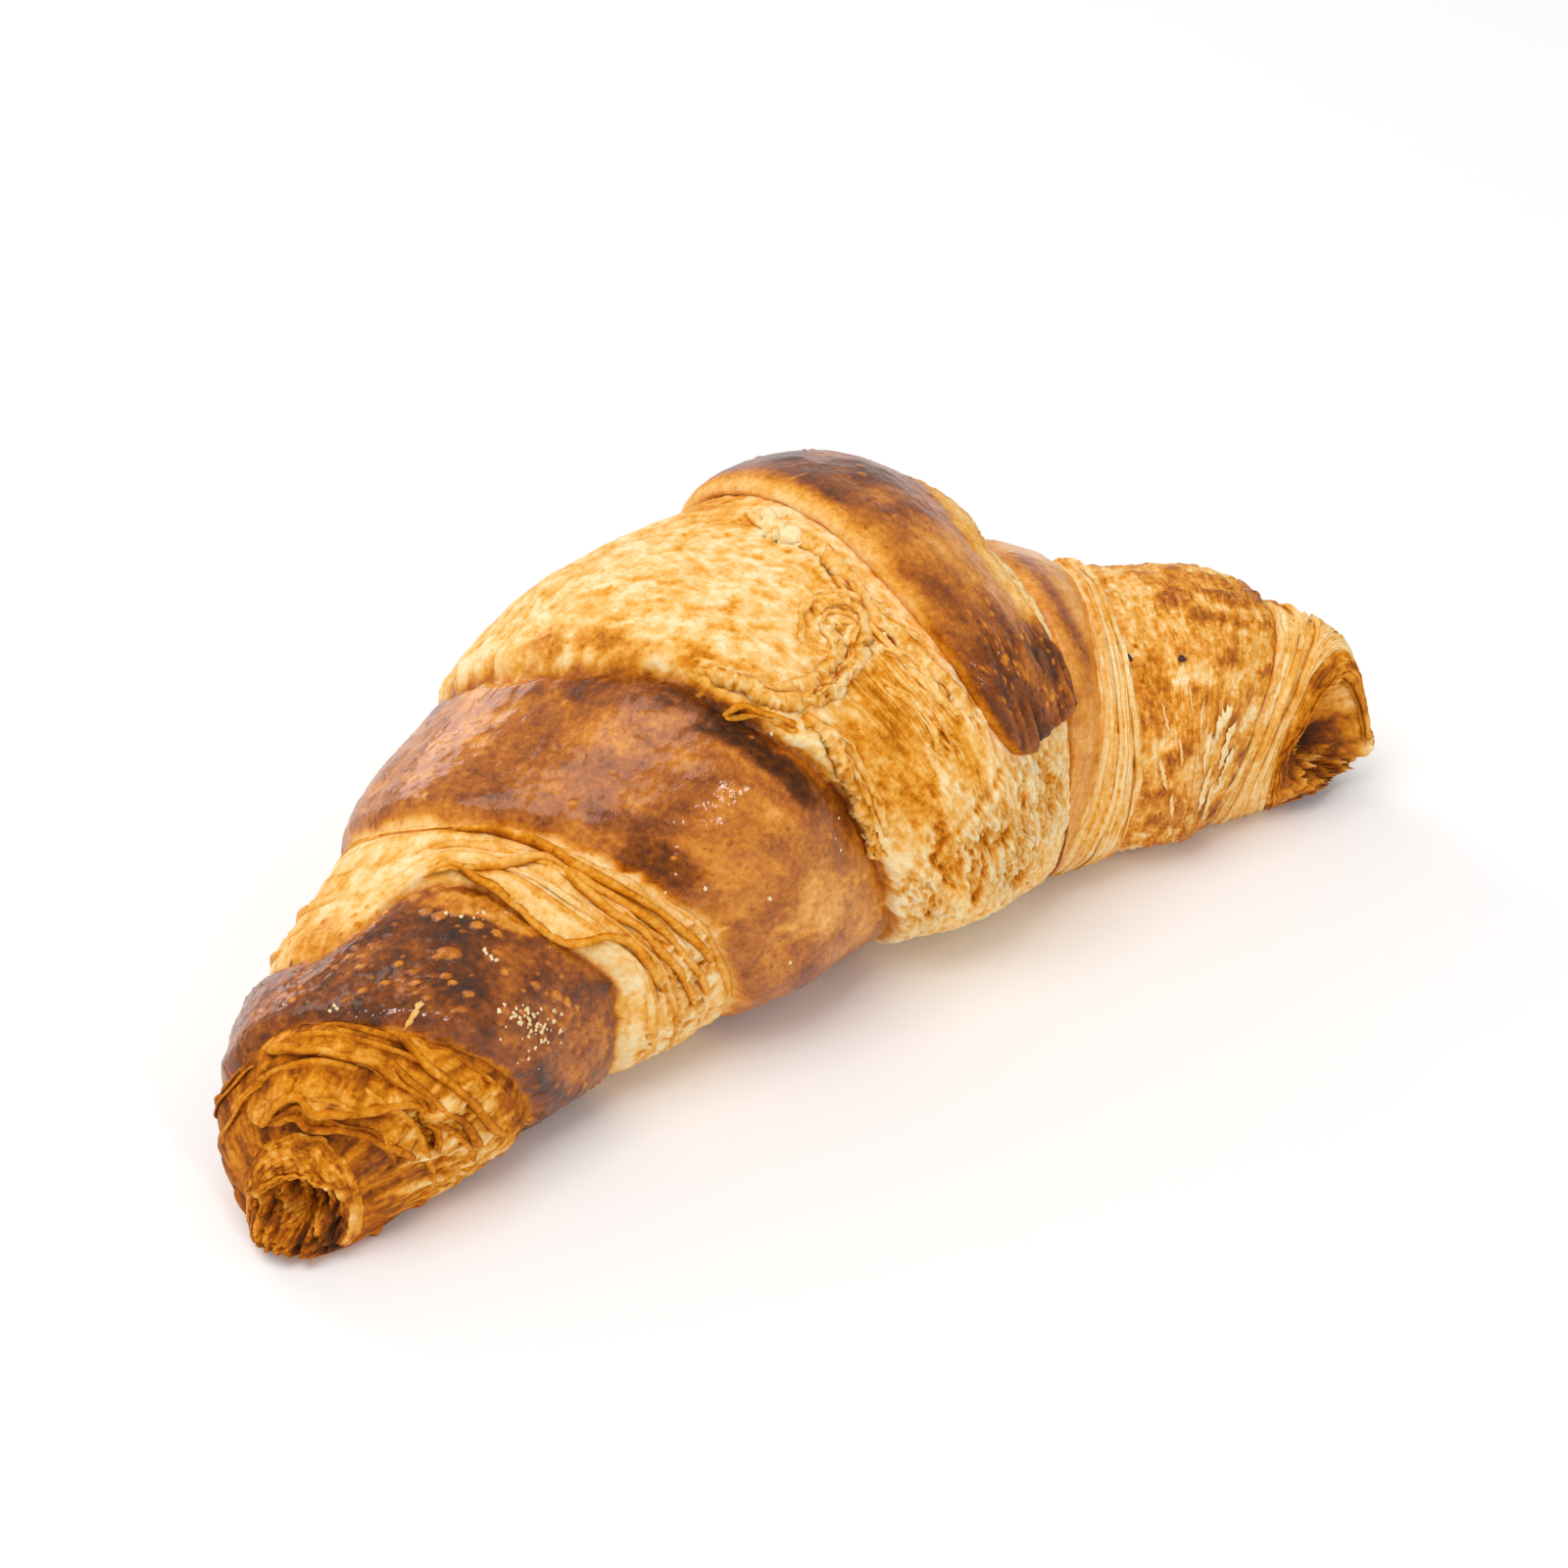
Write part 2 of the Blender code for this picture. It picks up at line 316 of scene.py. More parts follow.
# %% Zones
ZONES = (  # from, to, how far it stands out at its start and at its end, and how far it swells between
    ("left frill", -93.0, -83.5, -0.2, 0.6, 0.4), ("dark turn", -83.5, -62.5, 1.2, 0.3, 1.3),
    ("left seam", -62.5, -51.5, 0.9, 0.3, 0.0), ("broad turn", -51.5, -28.0, 1.8, 0.2, 1.3),
    ("pale burst", -28.0, 38.0, 2.2, -0.6, 0.9), ("narrow turn", 38.0, 45.0, -0.8, -0.1, 0.4),
    ("right seam", 45.0, 51.5, -0.2, 0.4, 0.0), ("mottled turn", 51.5, 81.0, 0.0, 0.6, 1.8),
    ("right frill", 81.0, 91.0, 0.3, 0.0, 0.2),
)
SEAM_WIDTH, CREASE = 1.0, 0.9


def zone(name, soft=0.5, ragged=0.0):
    """1 inside a zone and 0 outside, with an edge this soft and this ragged."""
    _, start, end = next(z for z in ZONES if z[0] == name)[:3]
    at = place + ragged * noise(lay / 2.5, 21)
    inside = np.ones_like(at)
    if start > ZONES[0][1]:
        inside = ramp(start - soft, start + soft, at)
    if end < ZONES[-1][2]:
        inside = inside * (1 - ramp(end - soft, end + soft, at))
    return inside


out = np.zeros_like(turn)
for name, start, end, first, last, swell in ZONES:
    t = np.clip((place - start) / (end - start), 0, 1)
    out += zone(name) * (first + (last - first) * t + swell * np.sin(np.pi * t))
    out -= CREASE * np.exp(-(((place - start) / SEAM_WIDTH) ** 2))
out += 0.5 * clouds(lay / 13, 5, 2)
print("relief of the turns", round(out.min(), 1), "to", round(out.max(), 1), "mm")

# %% [markdown]
# ## Leaves, wrinkles and blisters
# "lift" is the finer relief on top of that, and three fields go with it: "bake_and_shade" is how far a place has
# browned, with painted shade in creases, hollows and folds and painted light on ridges added, "wash" is how much egg
# wash it carries, and "crumb" is how torn open it is. Each step below changes all of them together.

# %% Fields of the crust
lift = np.zeros_like(turn)
# how far a place has browned, plus painted shade in creases and hollows and painted light on ridges
bake_and_shade = np.full_like(turn, 0.3)
wash = np.zeros_like(turn)
crumb = np.zeros_like(turn)
lines = np.full_like(turn, 0.15)
flecks = np.zeros_like(turn)
slide = np.zeros_like(turn)  # how far a point is pushed sideways along the roll, for edges that hang over


def blend(field, mask, value):
    field += mask * (value - field)


def leaves(mask, spacing, height, wander, seed, toast_and_shade=0.3):
    """Stacked leaves of dough: a slow rise and a sharp drop, again and again."""
    warp = wander * clouds(fibres(5.0, 22.0), seed, 3)
    phase = place / spacing + warp
    saw = phase - np.floor(phase)
    step = saw * (1 - ramp(0.86, 1.0, saw))
    thick = 0.6 + 0.5 * noise(fibres(6.0, 16.0), seed + 5)
    lift[...] += mask * height * thick * (step - 0.35)
    # painted: the crest of each leaf toasted browner, and the foot of each drop darker, as shade in the crease
    bake_and_shade[...] += mask * toast_and_shade * (ramp(0.6, 0.86, saw) * (1 - ramp(0.9, 1.0, saw)) - 0.35 + 0.5 * ramp(0.93, 0.98, saw))
    slide[...] += mask * 0.25 * height * ramp(0.5, 0.86, saw) * (1 - ramp(0.9, 1.0, saw))


# %% The faces of the turns
# Blond dough: soft cream patches, amber stains and a puffed, finely wrinkled skin
dough_folds = wrinkles(lay / 2.1, 31, 3)
cream = clouds(lay / (2.1, 2.5, 2.5), 41, 4)
stains = clouds(lay / 8.0, 45, 3)
burst = zone("pale burst", 0.4, 0.5)
lift += burst * (0.28 * (dough_folds - 0.5) + 0.22 * cream + 0.25 * stains)
# the ridges of the wrinkles are painted lighter and their folds darker, as light and shade
blend(bake_and_shade, burst, 0.17 - 0.16 * (dough_folds - 0.5) - 0.13 * cream - 0.10 * stains)
blend(flecks, burst, 0.2)

# Egg-washed faces: orange peel, brush strokes round the roll and patches where it baked faster
strokes = clouds(fibres(2.2, 10.0), 51, 4)
patches = clouds(fibres(5.0, 7.5), 61, 4)
peel = noise(lay / 1.3, 71)
for name, level, contrast in (("dark turn", 0.62, 0.26), ("broad turn", 0.48, 0.20), ("narrow turn", 0.26, 0.12)):
    face = zone(name, 0.35, 0.3)
    lift += face * (0.08 * strokes + 0.22 * patches + 0.06 * peel)
    blend(wash, face, 1.0)
    blend(bake_and_shade, face, level + contrast * (patches + 0.4 * strokes))

# The mottled turn: half washed, flecked with cream where the skin blistered off
mottled = zone("mottled turn", 0.4, 0.5)
scabs = wrinkles(fibres(1.7, 4.5), 81, 3)
mottles = clouds(lay / 5.0, 91, 4)
peeled = ramp(-0.05, 0.25, clouds(fibres(2.6, 5.5), 95, 4))  # where the washed skin came off in strips
blend(wash, mottled, (0.30 + 0.5 * np.clip(mottles, -0.5, 1)) * (1 - 0.7 * peeled))
# the ridges of the scabs are painted a little lighter and their folds darker, as light and shade
blend(bake_and_shade, mottled, 0.42 + 0.34 * mottles - 0.10 * (scabs - 0.5) - 0.17 * peeled)
blend(flecks, mottled, 0.55)
blend(lines, mottled, 0.5)
lift += mottled * (0.30 * (scabs - 0.5) + 0.3 * mottles - 0.25 * peeled)

# %% Seams and frills: leaves of dough
left_frill, left_seam = zone("left frill", 0.5, 0.4), zone("left seam", 0.4, 0.2)
right_seam, right_frill = zone("right seam", 0.3, 0.2), zone("right frill", 0.5, 0.3)
for frill, level, mottling, lined in (
    (left_frill, 0.60, 0.24, 0.2), (left_seam, 0.20, 0.18, 0.2), (right_seam, 0.25, 0.05, 1.0),
    (right_frill, 0.20, 0.10, 0.9),
):
    blend(bake_and_shade, frill, level + mottling * (mottles + 0.3 * cream))
    blend(lines, frill, lined)
leaves(left_frill * ramp(-15, 25, top_angle), 3.0, 0.8, 0.4, 101, 0.16)
leaves(left_seam, 2.4, 0.6, 0.4, 111, 0.14)
leaves(right_seam, 1.1, 0.25, 0.15, 121, 0.24)
leaves(right_seam, 2.6, 0.35, 0.15, 127, 0.12)
leaves(right_frill, 1.4, 0.45, 0.3, 131, 0.24)
print("bake from", round(float(bake_and_shade.min()), 2), "to", round(float(bake_and_shade.max()), 2))

# %% [markdown]
# ## Edges that can be named
# Some leaf edges are so plain to see that they get their own line: a few points of (turn, around), the height of the
# edge and how wide its back is. Close to the line the crust rises on one side and drops on the other, and the top
# point is pushed sideways, so that the edge hangs over a little and throws a shadow like a real leaf. The crease at
# its foot is also painted darker, as shade.

# %% Lines on the crust
BATCH = 4000  # points that are looked up at a time, to spare memory


def degree_mm(at):
    """Length of one degree round the roll."""
    width, height = (np.interp(at, [g[0] for g in GIRTH], [g[n] for g in GIRTH]) for n in (1, 2))
    return np.radians(1) * (width + height / 2) / 2


def smooth_line(points, step=0.25):
    """A finer line through points (turn, around)."""
    points = np.array(points, float)
    scale = degree_mm(points[:, 0].mean())
    gaps = np.hypot(np.diff(points[:, 0]), np.diff(points[:, 1]) * scale)
    reach = np.concatenate([[0], np.cumsum(gaps)])
    at = np.linspace(0, reach[-1], max(4, int(reach[-1] / step)))
    return np.stack([through(list(zip(reach, points[:, n])), at) for n in (0, 1)], -1), at / reach[-1]


def near_line(points, reach_mm):
    """The grid points near a line: indices, distance (+ on its left), share along it, fading, lean across the roll."""
    line, share = smooth_line(points)
    scale = degree_mm(line[:, 0].mean())
    rows = np.where((turns > line[:, 0].min() - reach_mm) & (turns < line[:, 0].max() + reach_mm))[0]
    tops = top_angle[0]
    cols = np.where((tops > line[:, 1].min() - reach_mm / scale) & (tops < line[:, 1].max() + reach_mm / scale))[0]
    index = np.ix_(rows, cols)
    at = np.stack([turn[index], top_angle[index] * scale], -1).reshape(-1, 2)
    flat = line * (1, scale)
    run = np.gradient(flat, axis=0)
    run /= np.linalg.norm(run, axis=1, keepdims=True)
    best = np.empty(len(at), int)
    for low in range(0, len(at), BATCH):
        gap = at[low:low + BATCH, None] - flat[None]
        best[low:low + BATCH] = (gap**2).sum(-1).argmin(1)
    gap = at - flat[best]
    side = run[best, 0] * gap[:, 1] - run[best, 1] * gap[:, 0]
    beyond = np.abs(run[best, 0] * gap[:, 0] + run[best, 1] * gap[:, 1])
    shape = (len(rows), len(cols))
    ends = np.exp(-((beyond / 0.6) ** 2)).reshape(shape)
    return index, side.reshape(shape), share[best].reshape(shape), ends, -run[best, 1].reshape(shape)


# %% Named leaf edges


def leaf_edge(points, height, width, tone, hang, shade):
    """A leaf that ends at this line and lies on the left of it, seen along the line's run."""
    index, side, share, ends, across = near_line(points, width * 2.5 + 1.5)
    side = side + 0.30 * clouds(lay[index] / 2.6, 211, 3)
    size = ramp(0, FADING, share) * (1 - ramp(1 - FADING, 1, share)) * ends
    size = size * (0.85 + 0.4 * noise(lay[index] / 2.2, 201))
    back_of_leaf = ramp(-0.22, 0.12, side) * np.exp(-np.clip(side, 0, None) / width)
    foot = np.exp(-(((side + 0.60) / 0.55) ** 2))
    rim = np.exp(-(((side - 0.42) / 0.42) ** 2))
    lift[index] += size * (0.8 * height * back_of_leaf - 0.25 * min(height, 1.0) * foot)
    bake_and_shade[index] += size * rim * (tone - bake_and_shade[index]) * 0.6
    # painted shade: the crease at the foot of the edge is darker
    bake_and_shade[index] += size * shade * foot
    wash[index] -= size * rim * wash[index] * 0.8
    push = size * hang * height * np.exp(-(((side - 0.15) / 0.5) ** 2))
    slide[index] -= push * across


FADING = 0.12  # share of its length over which an edge dies out
LEAF_EDGES = (  # line, height, width, tone, how far it hangs over
    # the left frill: arcs one under the other, each leaf coming from the right
    (((-86.2, 118), (-87.0, 103), (-88.5, 73), (-88.0, 55), (-88.0, 36), (-87.5, 22), (-88.3, 8)), 1.3, 1.4, 0.42, 0.6),
    (((-91.0, 130), (-91.8, 112), (-91.0, 88), (-91.5, 63), (-91.0, 48), (-90.5, 36), (-89.0, 28), (-88.0, 18),
      (-88.6, 0), (-88.0, -18)), 1.4, 1.5, 0.40, 0.6),
    (((-92.6, 112), (-92.0, 86), (-92.3, 68), (-91.9, 44), (-91.6, 26), (-90.6, 6), (-89.4, -12)), 1.1, 1.0, 0.50, 0.5),
    (((-84.2, 66), (-85.0, 52), (-86.3, 34), (-86.0, 14), (-85.8, -4), (-84.6, -24)), 0.9, 1.0, 0.42, 0.5),
    (((-86.8, 52), (-87.6, 40), (-87.3, 22), (-87.0, 1), (-86.6, -20)), 0.9, 1.0, 0.45, 0.5),
    # the left seam: the main lip, the second lip and the sheets above them
    (((-62.3, 92), (-60.0, 87), (-58.2, 81), (-59.5, 70), (-60.0, 60), (-61.0, 50), (-61.5, 39), (-61.0, 32),
      (-58.5, 29), (-57.2, 23), (-57.0, 14), (-57.0, 2), (-57.0, -12)), 1.5, 0.9, 0.44, 0.7),
    (((-58.0, 84), (-58.5, 73), (-57.2, 67), (-55.6, 64), (-53.6, 61), (-53.2, 56), (-55.0, 49), (-55.5, 42),
      (-56.0, 34), (-55.2, 26), (-55.5, 17), (-55.0, 6), (-55.0, -10), (-55.0, -24)), 1.3, 0.9, 0.40, 0.6),
    (((-52.2, 58), (-54.2, 49), (-54.6, 40), (-54.3, 31), (-54.0, 22), (-54.0, 11), (-53.5, -4), (-53.5, -22)),
     0.9, 0.7, 0.42, 0.5),
    (((-51.6, 100), (-51.9, 84), (-52.2, 70), (-52.8, 58), (-53.4, 45), (-53.2, 34), (-52.8, 18), (-52.2, 4),
      (-51.8, -12)), 0.8, 0.7, 0.46, 0.4),
    # the edge of the burst over the broad turn: a crumpled lip that curls round into a swirl, and small torn lips
    (((-27.6, 68), (-26.8, 61), (-26.0, 54), (-25.5, 48), (-24.0, 44.5), (-21.0, 43), (-17.0, 42.5), (-13.0, 44),
      (-9.0, 47), (-5.0, 52), (-3.6, 56), (-5.0, 59), (-8.5, 58.5), (-11.0, 55)), 1.1, 0.8, 0.34, 0.6),
    (((-26.0, 51), (-22.0, 47.5), (-18.0, 46), (-14.0, 48), (-11.0, 51), (-10.5, 54.5), (-8.0, 56)),
     0.7, 0.6, 0.30, 0.4),
    (((-15.0, 53), (-13.0, 57), (-10.0, 61), (-6.0, 62.5), (-2.0, 60.5)), 0.5, 0.6, 0.30, 0.4),
    (((-31.5, 52), (-30.0, 51), (-28.6, 47), (-27.8, 42), (-26.5, 38)), 0.5, 0.6, 0.44, 0.5),
    (((-26.0, 42.5), (-24.6, 40), (-23.4, 36), (-23.6, 31), (-24.8, 25), (-25.0, 17), (-25.4, 7), (-25.6, -6)),
     0.9, 0.8, 0.34, 0.6),
    (((-24.4, 36), (-22.6, 30), (-22.4, 22), (-23.4, 12), (-24.0, 2)), 0.5, 0.7, 0.30, 0.5),
    # membranes between the burst and the tongue
    (((4.5, 88), (3.4, 78), (2.6, 68), (1.0, 60), (0.4, 52), (2.6, 42), (4.8, 32), (6.0, 25)), 0.7, 0.6, 0.32, 0.5),
    (((2.0, 72), (-0.4, 64), (-2.0, 56), (-2.4, 48), (-1.6, 40), (0.6, 32), (2.6, 25)), 0.6, 0.6, 0.30, 0.5),
    (((-20.0, 44.5), (-15.0, 47), (-12.5, 50.5), (-13.5, 54)), 0.5, 0.5, 0.28, 0.4),
    (((-12.0, 49), (-8.0, 50.5), (-5.5, 54), (-7.5, 57.5)), 0.5, 0.5, 0.26, 0.4),
    (((-5.0, 63), (-1.0, 60), (1.6, 55), (1.0, 50)), 0.5, 0.5, 0.28, 0.4),
    (((-4.0, 47), (-1.0, 43), (0.6, 37), (-0.6, 31)), 0.5, 0.5, 0.30, 0.4),
    (((-9.0, 40), (-6.0, 34), (-5.0, 27), (-7.0, 20)), 0.5, 0.6, 0.30, 0.4),
    (((-2.5, 58), (0.5, 56), (3.6, 54)), 0.6, 0.5, 0.26, 0.5),
    (((-2.0, 52), (1.0, 50), (4.6, 46)), 0.5, 0.5, 0.28, 0.5),
    (((5.5, 96), (4.0, 91), (2.8, 84), (2.6, 79)), 0.9, 0.7, 0.16, 0.5),
    (((3.8, 99), (2.4, 93), (1.5, 86)), 0.6, 0.6, 0.20, 0.4),
    # torn sheets low on the front
    (((8.5, 16), (5.0, 12), (-2.0, 6), (-9.0, 1), (-15.0, -5), (-19.0, -14)), 0.8, 1.8, 0.16, 0.3),
    (((22.0, 18), (15.0, 12), (9.0, 4), (4.0, -6), (1.0, -18)), 0.6, 1.6, 0.14, 0.3),
    (((34.0, 22), (29.0, 12), (25.0, 2), (22.0, -10)), 0.6, 1.5, 0.14, 0.3),
    # the right seam and the right frill
    (((52.6, 118), (53.4, 100), (53.6, 80), (53.3, 60), (53.0, 40), (53.0, 20), (52.8, 0), (52.0, -20)),
     0.8, 0.8, 0.26, 0.5),
    (((76.5, 112), (79.0, 92), (81.4, 76), (83.0, 60), (84.8, 44), (85.7, 28), (85.4, 8), (83.6, -16), (82.4, -32)),
     0.9, 1.0, 0.28, 0.5),
    (((79.0, 112), (82.0, 92), (84.6, 76), (86.4, 60), (87.6, 44), (88.0, 26), (87.6, 6), (86.2, -16)),
     0.7, 0.8, 0.34, 0.4),
    (((82.5, 104), (85.5, 88), (87.6, 72), (89.2, 56), (90.0, 38), (90.0, 18), (89.0, -4), (88.0, -20)),
     0.6, 0.7, 0.30, 0.4),
)
for edge in LEAF_EDGES:
    # the foot of each edge is painted darker, as shade; on the pale burst only a little
    torn_lip = -30 < edge[0][0][0] < 40  # these lie on the pale burst, and throw hardly a shadow
    leaf_edge(*edge, shade=0.02 if torn_lip else 0.12)
print(len(LEAF_EDGES), "leaf edges")

# %% [markdown]
# ## Patches, blisters and open crumb
# An oven browns unevenly. Each patch is a soft ragged ellipse that pulls the fields towards a value of its own.
# Blisters are little domes where steam lifted the washed skin, paler than the skin round them. Where the dough tore,
# the crumb is a foam of small cells with pale walls.

# %% Patches
salt = clouds(lay / 1.3, 97, 2)  # fine mottling


def patch(at_turn, at_angle, half_turn, half_angle, seed):
    """A soft ragged ellipse, half_turn along the roll and half_angle round it."""
    away = np.hypot((turn - at_turn) / half_turn, (top_angle - at_angle) / half_angle)
    away = away + 0.50 * clouds(fibres(2.8, 4.0), 300 + seed, 3) + 0.22 * salt
    return 1 - ramp(0.45, 1.2, away)


PATCHES = (  # turn, around, half sizes, bake, strength, wash (None leaves it)
    (-78.5, 66, 4.5, 22, 0.84, 0.90, 0.9), (-68.5, 68, 4.0, 18, 0.84, 0.75, 1.0),
    (-74.0, 60, 3.0, 9, 0.92, 0.60, None), (-77.5, 50, 3.5, 9, 0.84, 0.55, None),
    (-72.0, -6, 8.0, 20, 0.44, 0.80, None), (-63.8, 62, 2.3, 26, 0.36, 0.85, 0.5),
    (-80.5, 70, 2.5, 30, 0.60, 0.50, None), (-69.5, 112, 4.0, 20, 0.34, 0.80, 0.4),
    (-75.0, 92, 3.5, 12, 0.52, 0.50, None), (-66.0, 30, 3.0, 12, 0.56, 0.60, None),
    # the second patch on this line and the four below it: a dark band along the top of the broad turn under the burst's
    # edge, partly burnt brown and partly painted shade under its overhang
    (-77.0, 108, 5.0, 16, 0.58, 0.50, None), (-28.8, 78, 1.8, 9, 0.66, 0.80, 0.2),
    (-30.8, 60, 2.5, 11, 0.84, 0.85, 0.1), (-31.9, 45, 3.3, 13, 0.90, 0.90, 0.1),
    (-32.3, 31, 2.8, 10, 0.88, 0.85, 0.1), (-29.8, 18, 2.2, 12, 0.74, 0.75, 0.3),
    (-49.0, 34, 2.4, 20, 0.80, 0.80, 0.2), (-41.0, 108, 9.0, 12, 0.32, 0.65, None),
    (-35.0, 84, 4.0, 10, 0.60, 0.50, None), (-38.0, -6, 7.0, 12, 0.22, 0.80, None),
    (-31.0, -16, 4.5, 18, 0.24, 0.75, None), (-36.0, 66, 4.5, 12, 0.42, 0.60, None),
    (-30.5, 84, 2.6, 7, 0.76, 0.75, None), (-46.0, 90, 3.0, 16, 0.60, 0.40, None),
    (-42.0, 10, 5.0, 10, 0.42, 0.60, None), (-28.8, 116, 1.6, 16, 0.22, 0.70, None),
    (-25.8, 102, 1.8, 9, 0.62, 0.60, 0.8), (-25.6, 90, 1.6, 8, 0.56, 0.60, 0.5), (-26.6, 80, 1.6, 8, 0.52, 0.60, 0.4),
    (-26.0, 66, 2.2, 8, 0.46, 0.60, 0.1), (-25.0, 54, 3.0, 7, 0.50, 0.60, 0.1), (-9.0, 52, 8.0, 8, 0.32, 0.70, None),
    (-1.0, 48, 4.0, 12, 0.34, 0.60, None), (0.5, 82, 3.0, 14, 0.26, 0.50, None),
    (-17.0, 20, 8.0, 20, 0.48, 0.75, None), (-8.0, 34, 9.0, 13, 0.47, 0.80, None),
    (0.0, 24, 6.0, 16, 0.40, 0.70, None), (10.0, -12, 16.0, 18, 0.24, 0.60, None),
    (0.5, 100, 4.0, 10, 0.40, 0.50, None), (5.0, 118, 5.0, 14, 0.45, 0.60, None),
    (-14.0, 120, 5.0, 10, 0.28, 0.40, None), (-22.0, 100, 4.0, 8, 0.30, 0.40, None),
    (2.0, 110, 6.0, 9, 0.34, 0.50, None), (-2.0, 68, 3.0, 8, 0.30, 0.50, None), (-14.0, 66, 5.0, 8, 0.26, 0.40, None),
    (64.0, 82, 2.6, 9, 0.66, 0.65, 0.9), (68.0, 70, 3.0, 8, 0.68, 0.60, 0.9), (74.0, 84, 4.0, 12, 0.58, 0.60, 0.8),
    (77.0, 98, 4.0, 13, 0.60, 0.60, 0.9), (66.0, 98, 6.0, 12, 0.40, 0.50, 0.6), (57.5, 76, 4.6, 26, 0.17, 0.80, 0.1),
    (58.0, 46, 3.4, 16, 0.47, 0.75, 0.2), (77.5, 46, 3.0, 24, 0.24, 0.60, 0.1), (67.0, 50, 4.0, 10, 0.32, 0.60, 0.2),
    (61.0, -14, 4.0, 12, 0.46, 0.80, 0.7), (70.0, 2, 9.0, 16, 0.18, 0.70, 0.1), (72.0, 26, 2.5, 10, 0.50, 0.50, None),
    (84.0, 60, 3.0, 10, 0.40, 0.40, None), (-91.5, 6, 1.5, 12, 0.72, 0.70, 0.4),
    (-90.5, -14, 1.5, 8, 0.62, 0.60, None), (-92.3, 60, 0.8, 20, 0.60, 0.50, None),
    (-90.5, 68, 1.6, 20, 0.44, 0.60, None), (-89.0, 148, 3.5, 24, 0.56, 0.60, None),
    (-86.6, 128, 2.0, 14, 0.60, 0.50, None), (-87.0, -10, 2.0, 18, 0.30, 0.60, None),
    (-90.0, -17, 2.2, 10, 0.68, 0.85, 0.4),
)
for number, (*ellipse, level, strength, washed) in enumerate(PATCHES):
    spot = strength * patch(*ellipse, number)
    blend(bake_and_shade, spot, level + 0.10 * patches + 0.06 * strokes + 0.15 * salt)
    if washed is not None:
        blend(wash, spot, washed)

print(len(PATCHES), "patches")

# %% Folded skin, fibres and furrows
# Skin that tore and fell back in small folds, glassy and yellow
skin_folds = wrinkles(lay / 1.9, 351, 3)
for number, ellipse in enumerate((
    (-8.0, 51, 8.0, 8), (-19.0, 44, 6.0, 4), (-1.0, 46, 3.5, 16), (0.5, 72, 2.6, 16), (-26.0, 58, 1.6, 9),
    (-5.0, 24, 5.0, 8), (5.0, 31, 4.0, 9),
)):
    spot = patch(*ellipse, 90 + number)
    lift += spot * 1.1 * (skin_folds - 0.5)
    blend(bake_and_shade, 0.6 * spot, 0.28)
    # the ridges of the folds are painted lighter and the folds darker, as light and shade
    bake_and_shade -= spot * 0.34 * (skin_folds - 0.5)

# Between the swirl and the tongue the dough was drawn out into fibres, and below them the sheets left furrows
drawn_out = patch(-8.0, 33, 11.0, 17, 96)
blend(lines, drawn_out, 1.0)
blend(flecks, drawn_out, 0.0)
blend(bake_and_shade, 0.75 * drawn_out, 0.39 + 0.10 * stains)
lift += drawn_out * 0.3 * (wrinkles(fibres(1.3, 9.0), 361, 2) - 0.5)
for number, ellipse in enumerate((
    (-14.0, -8, 3.6, 12), (-8.0, -18, 3.0, 8), (0.0, -4, 5.5, 5), (14.0, 2, 4.0, 8), (26.0, 8, 2.6, 14),
    (9.0, -22, 5.0, 6),
)):
    spot = patch(*ellipse, 100 + number)
    lift -= spot * 1.0
    blend(bake_and_shade, 0.8 * spot, 0.46 + 0.2 * salt)

# %% Blisters


def dome(at_turn, at_angle, radius, height, tone=None, rim=0.0):
    """A round bump, or a pit if the height is negative, of this radius in millimetres."""
    scale = degree_mm(at_turn)
    rows = np.where(np.abs(turns - at_turn) < radius * 1.5)[0]
    cols = np.where(np.abs(top_angle[0] - at_angle) < radius * 1.5 / scale)[0]
    index = np.ix_(rows, cols)
    away = np.hypot(turn[index] - at_turn, (top_angle[index] - at_angle) * scale) / radius
    body = np.clip(1 - away**2, 0, 1)
    lift[index] += height * body**0.8 + rim * np.exp(-(((away - 1.15) / 0.25) ** 2))
    if tone is not None:
        bake_and_shade[index] += ramp(0, 0.35, body) * (tone - bake_and_shade[index]) * 0.8


BLISTERED = 0.36  # tone of the larger ones
BLISTERS = (  # turn, around, radius, height
    (-61.8, 81, 0.9, 0.40), (-66.5, 78, 0.8, 0.35), (-67.0, 73, 0.9, 0.40), (-66.0, 69, 0.7, 0.30),
    (-67.0, 60, 0.8, 0.35), (-67.0, 53, 0.7, 0.30), (-73.0, 62, 1.3, 0.75), (-70.0, 49, 0.6, 0.25),
    (-62.6, 44, 0.8, 0.35), (-70.0, 22, 0.9, 0.45), (-69.5, 17, 0.7, 0.35), (-76.5, 58, 0.6, 0.25),
    (-78.0, 48, 0.6, 0.25), (-71.5, 31, 0.7, 0.30), (-64.5, 58, 0.8, 0.35), (-65.0, 66, 0.7, 0.30),
    (-64.6, 50, 0.9, 0.35), (-73.5, 12, 0.6, 0.30), (-64.0, 86, 0.8, 0.30), (-76.0, 74, 0.5, 0.20),
    (-36.0, 8, 0.5, 0.25), (-43.0, 2, 0.4, 0.20), (-33.0, 12, 0.4, 0.20), (-47.0, 66, 0.5, 0.25),
)
for blister in BLISTERS:
    dome(*blister, BLISTERED)
draw = np.random.default_rng(5)
for low, high, count, largest in ((-82, -63, 260, 0.55), (-50, -29, 170, 0.36), (52, 80, 160, 0.5)):
    for _ in range(count):
        radius = largest * draw.uniform(0.4, 1.0)
        dome(draw.uniform(low, high), draw.uniform(-40, 240), radius, radius * 0.45, draw.uniform(0.3, 0.6))
print(len(BLISTERS), "large blisters")

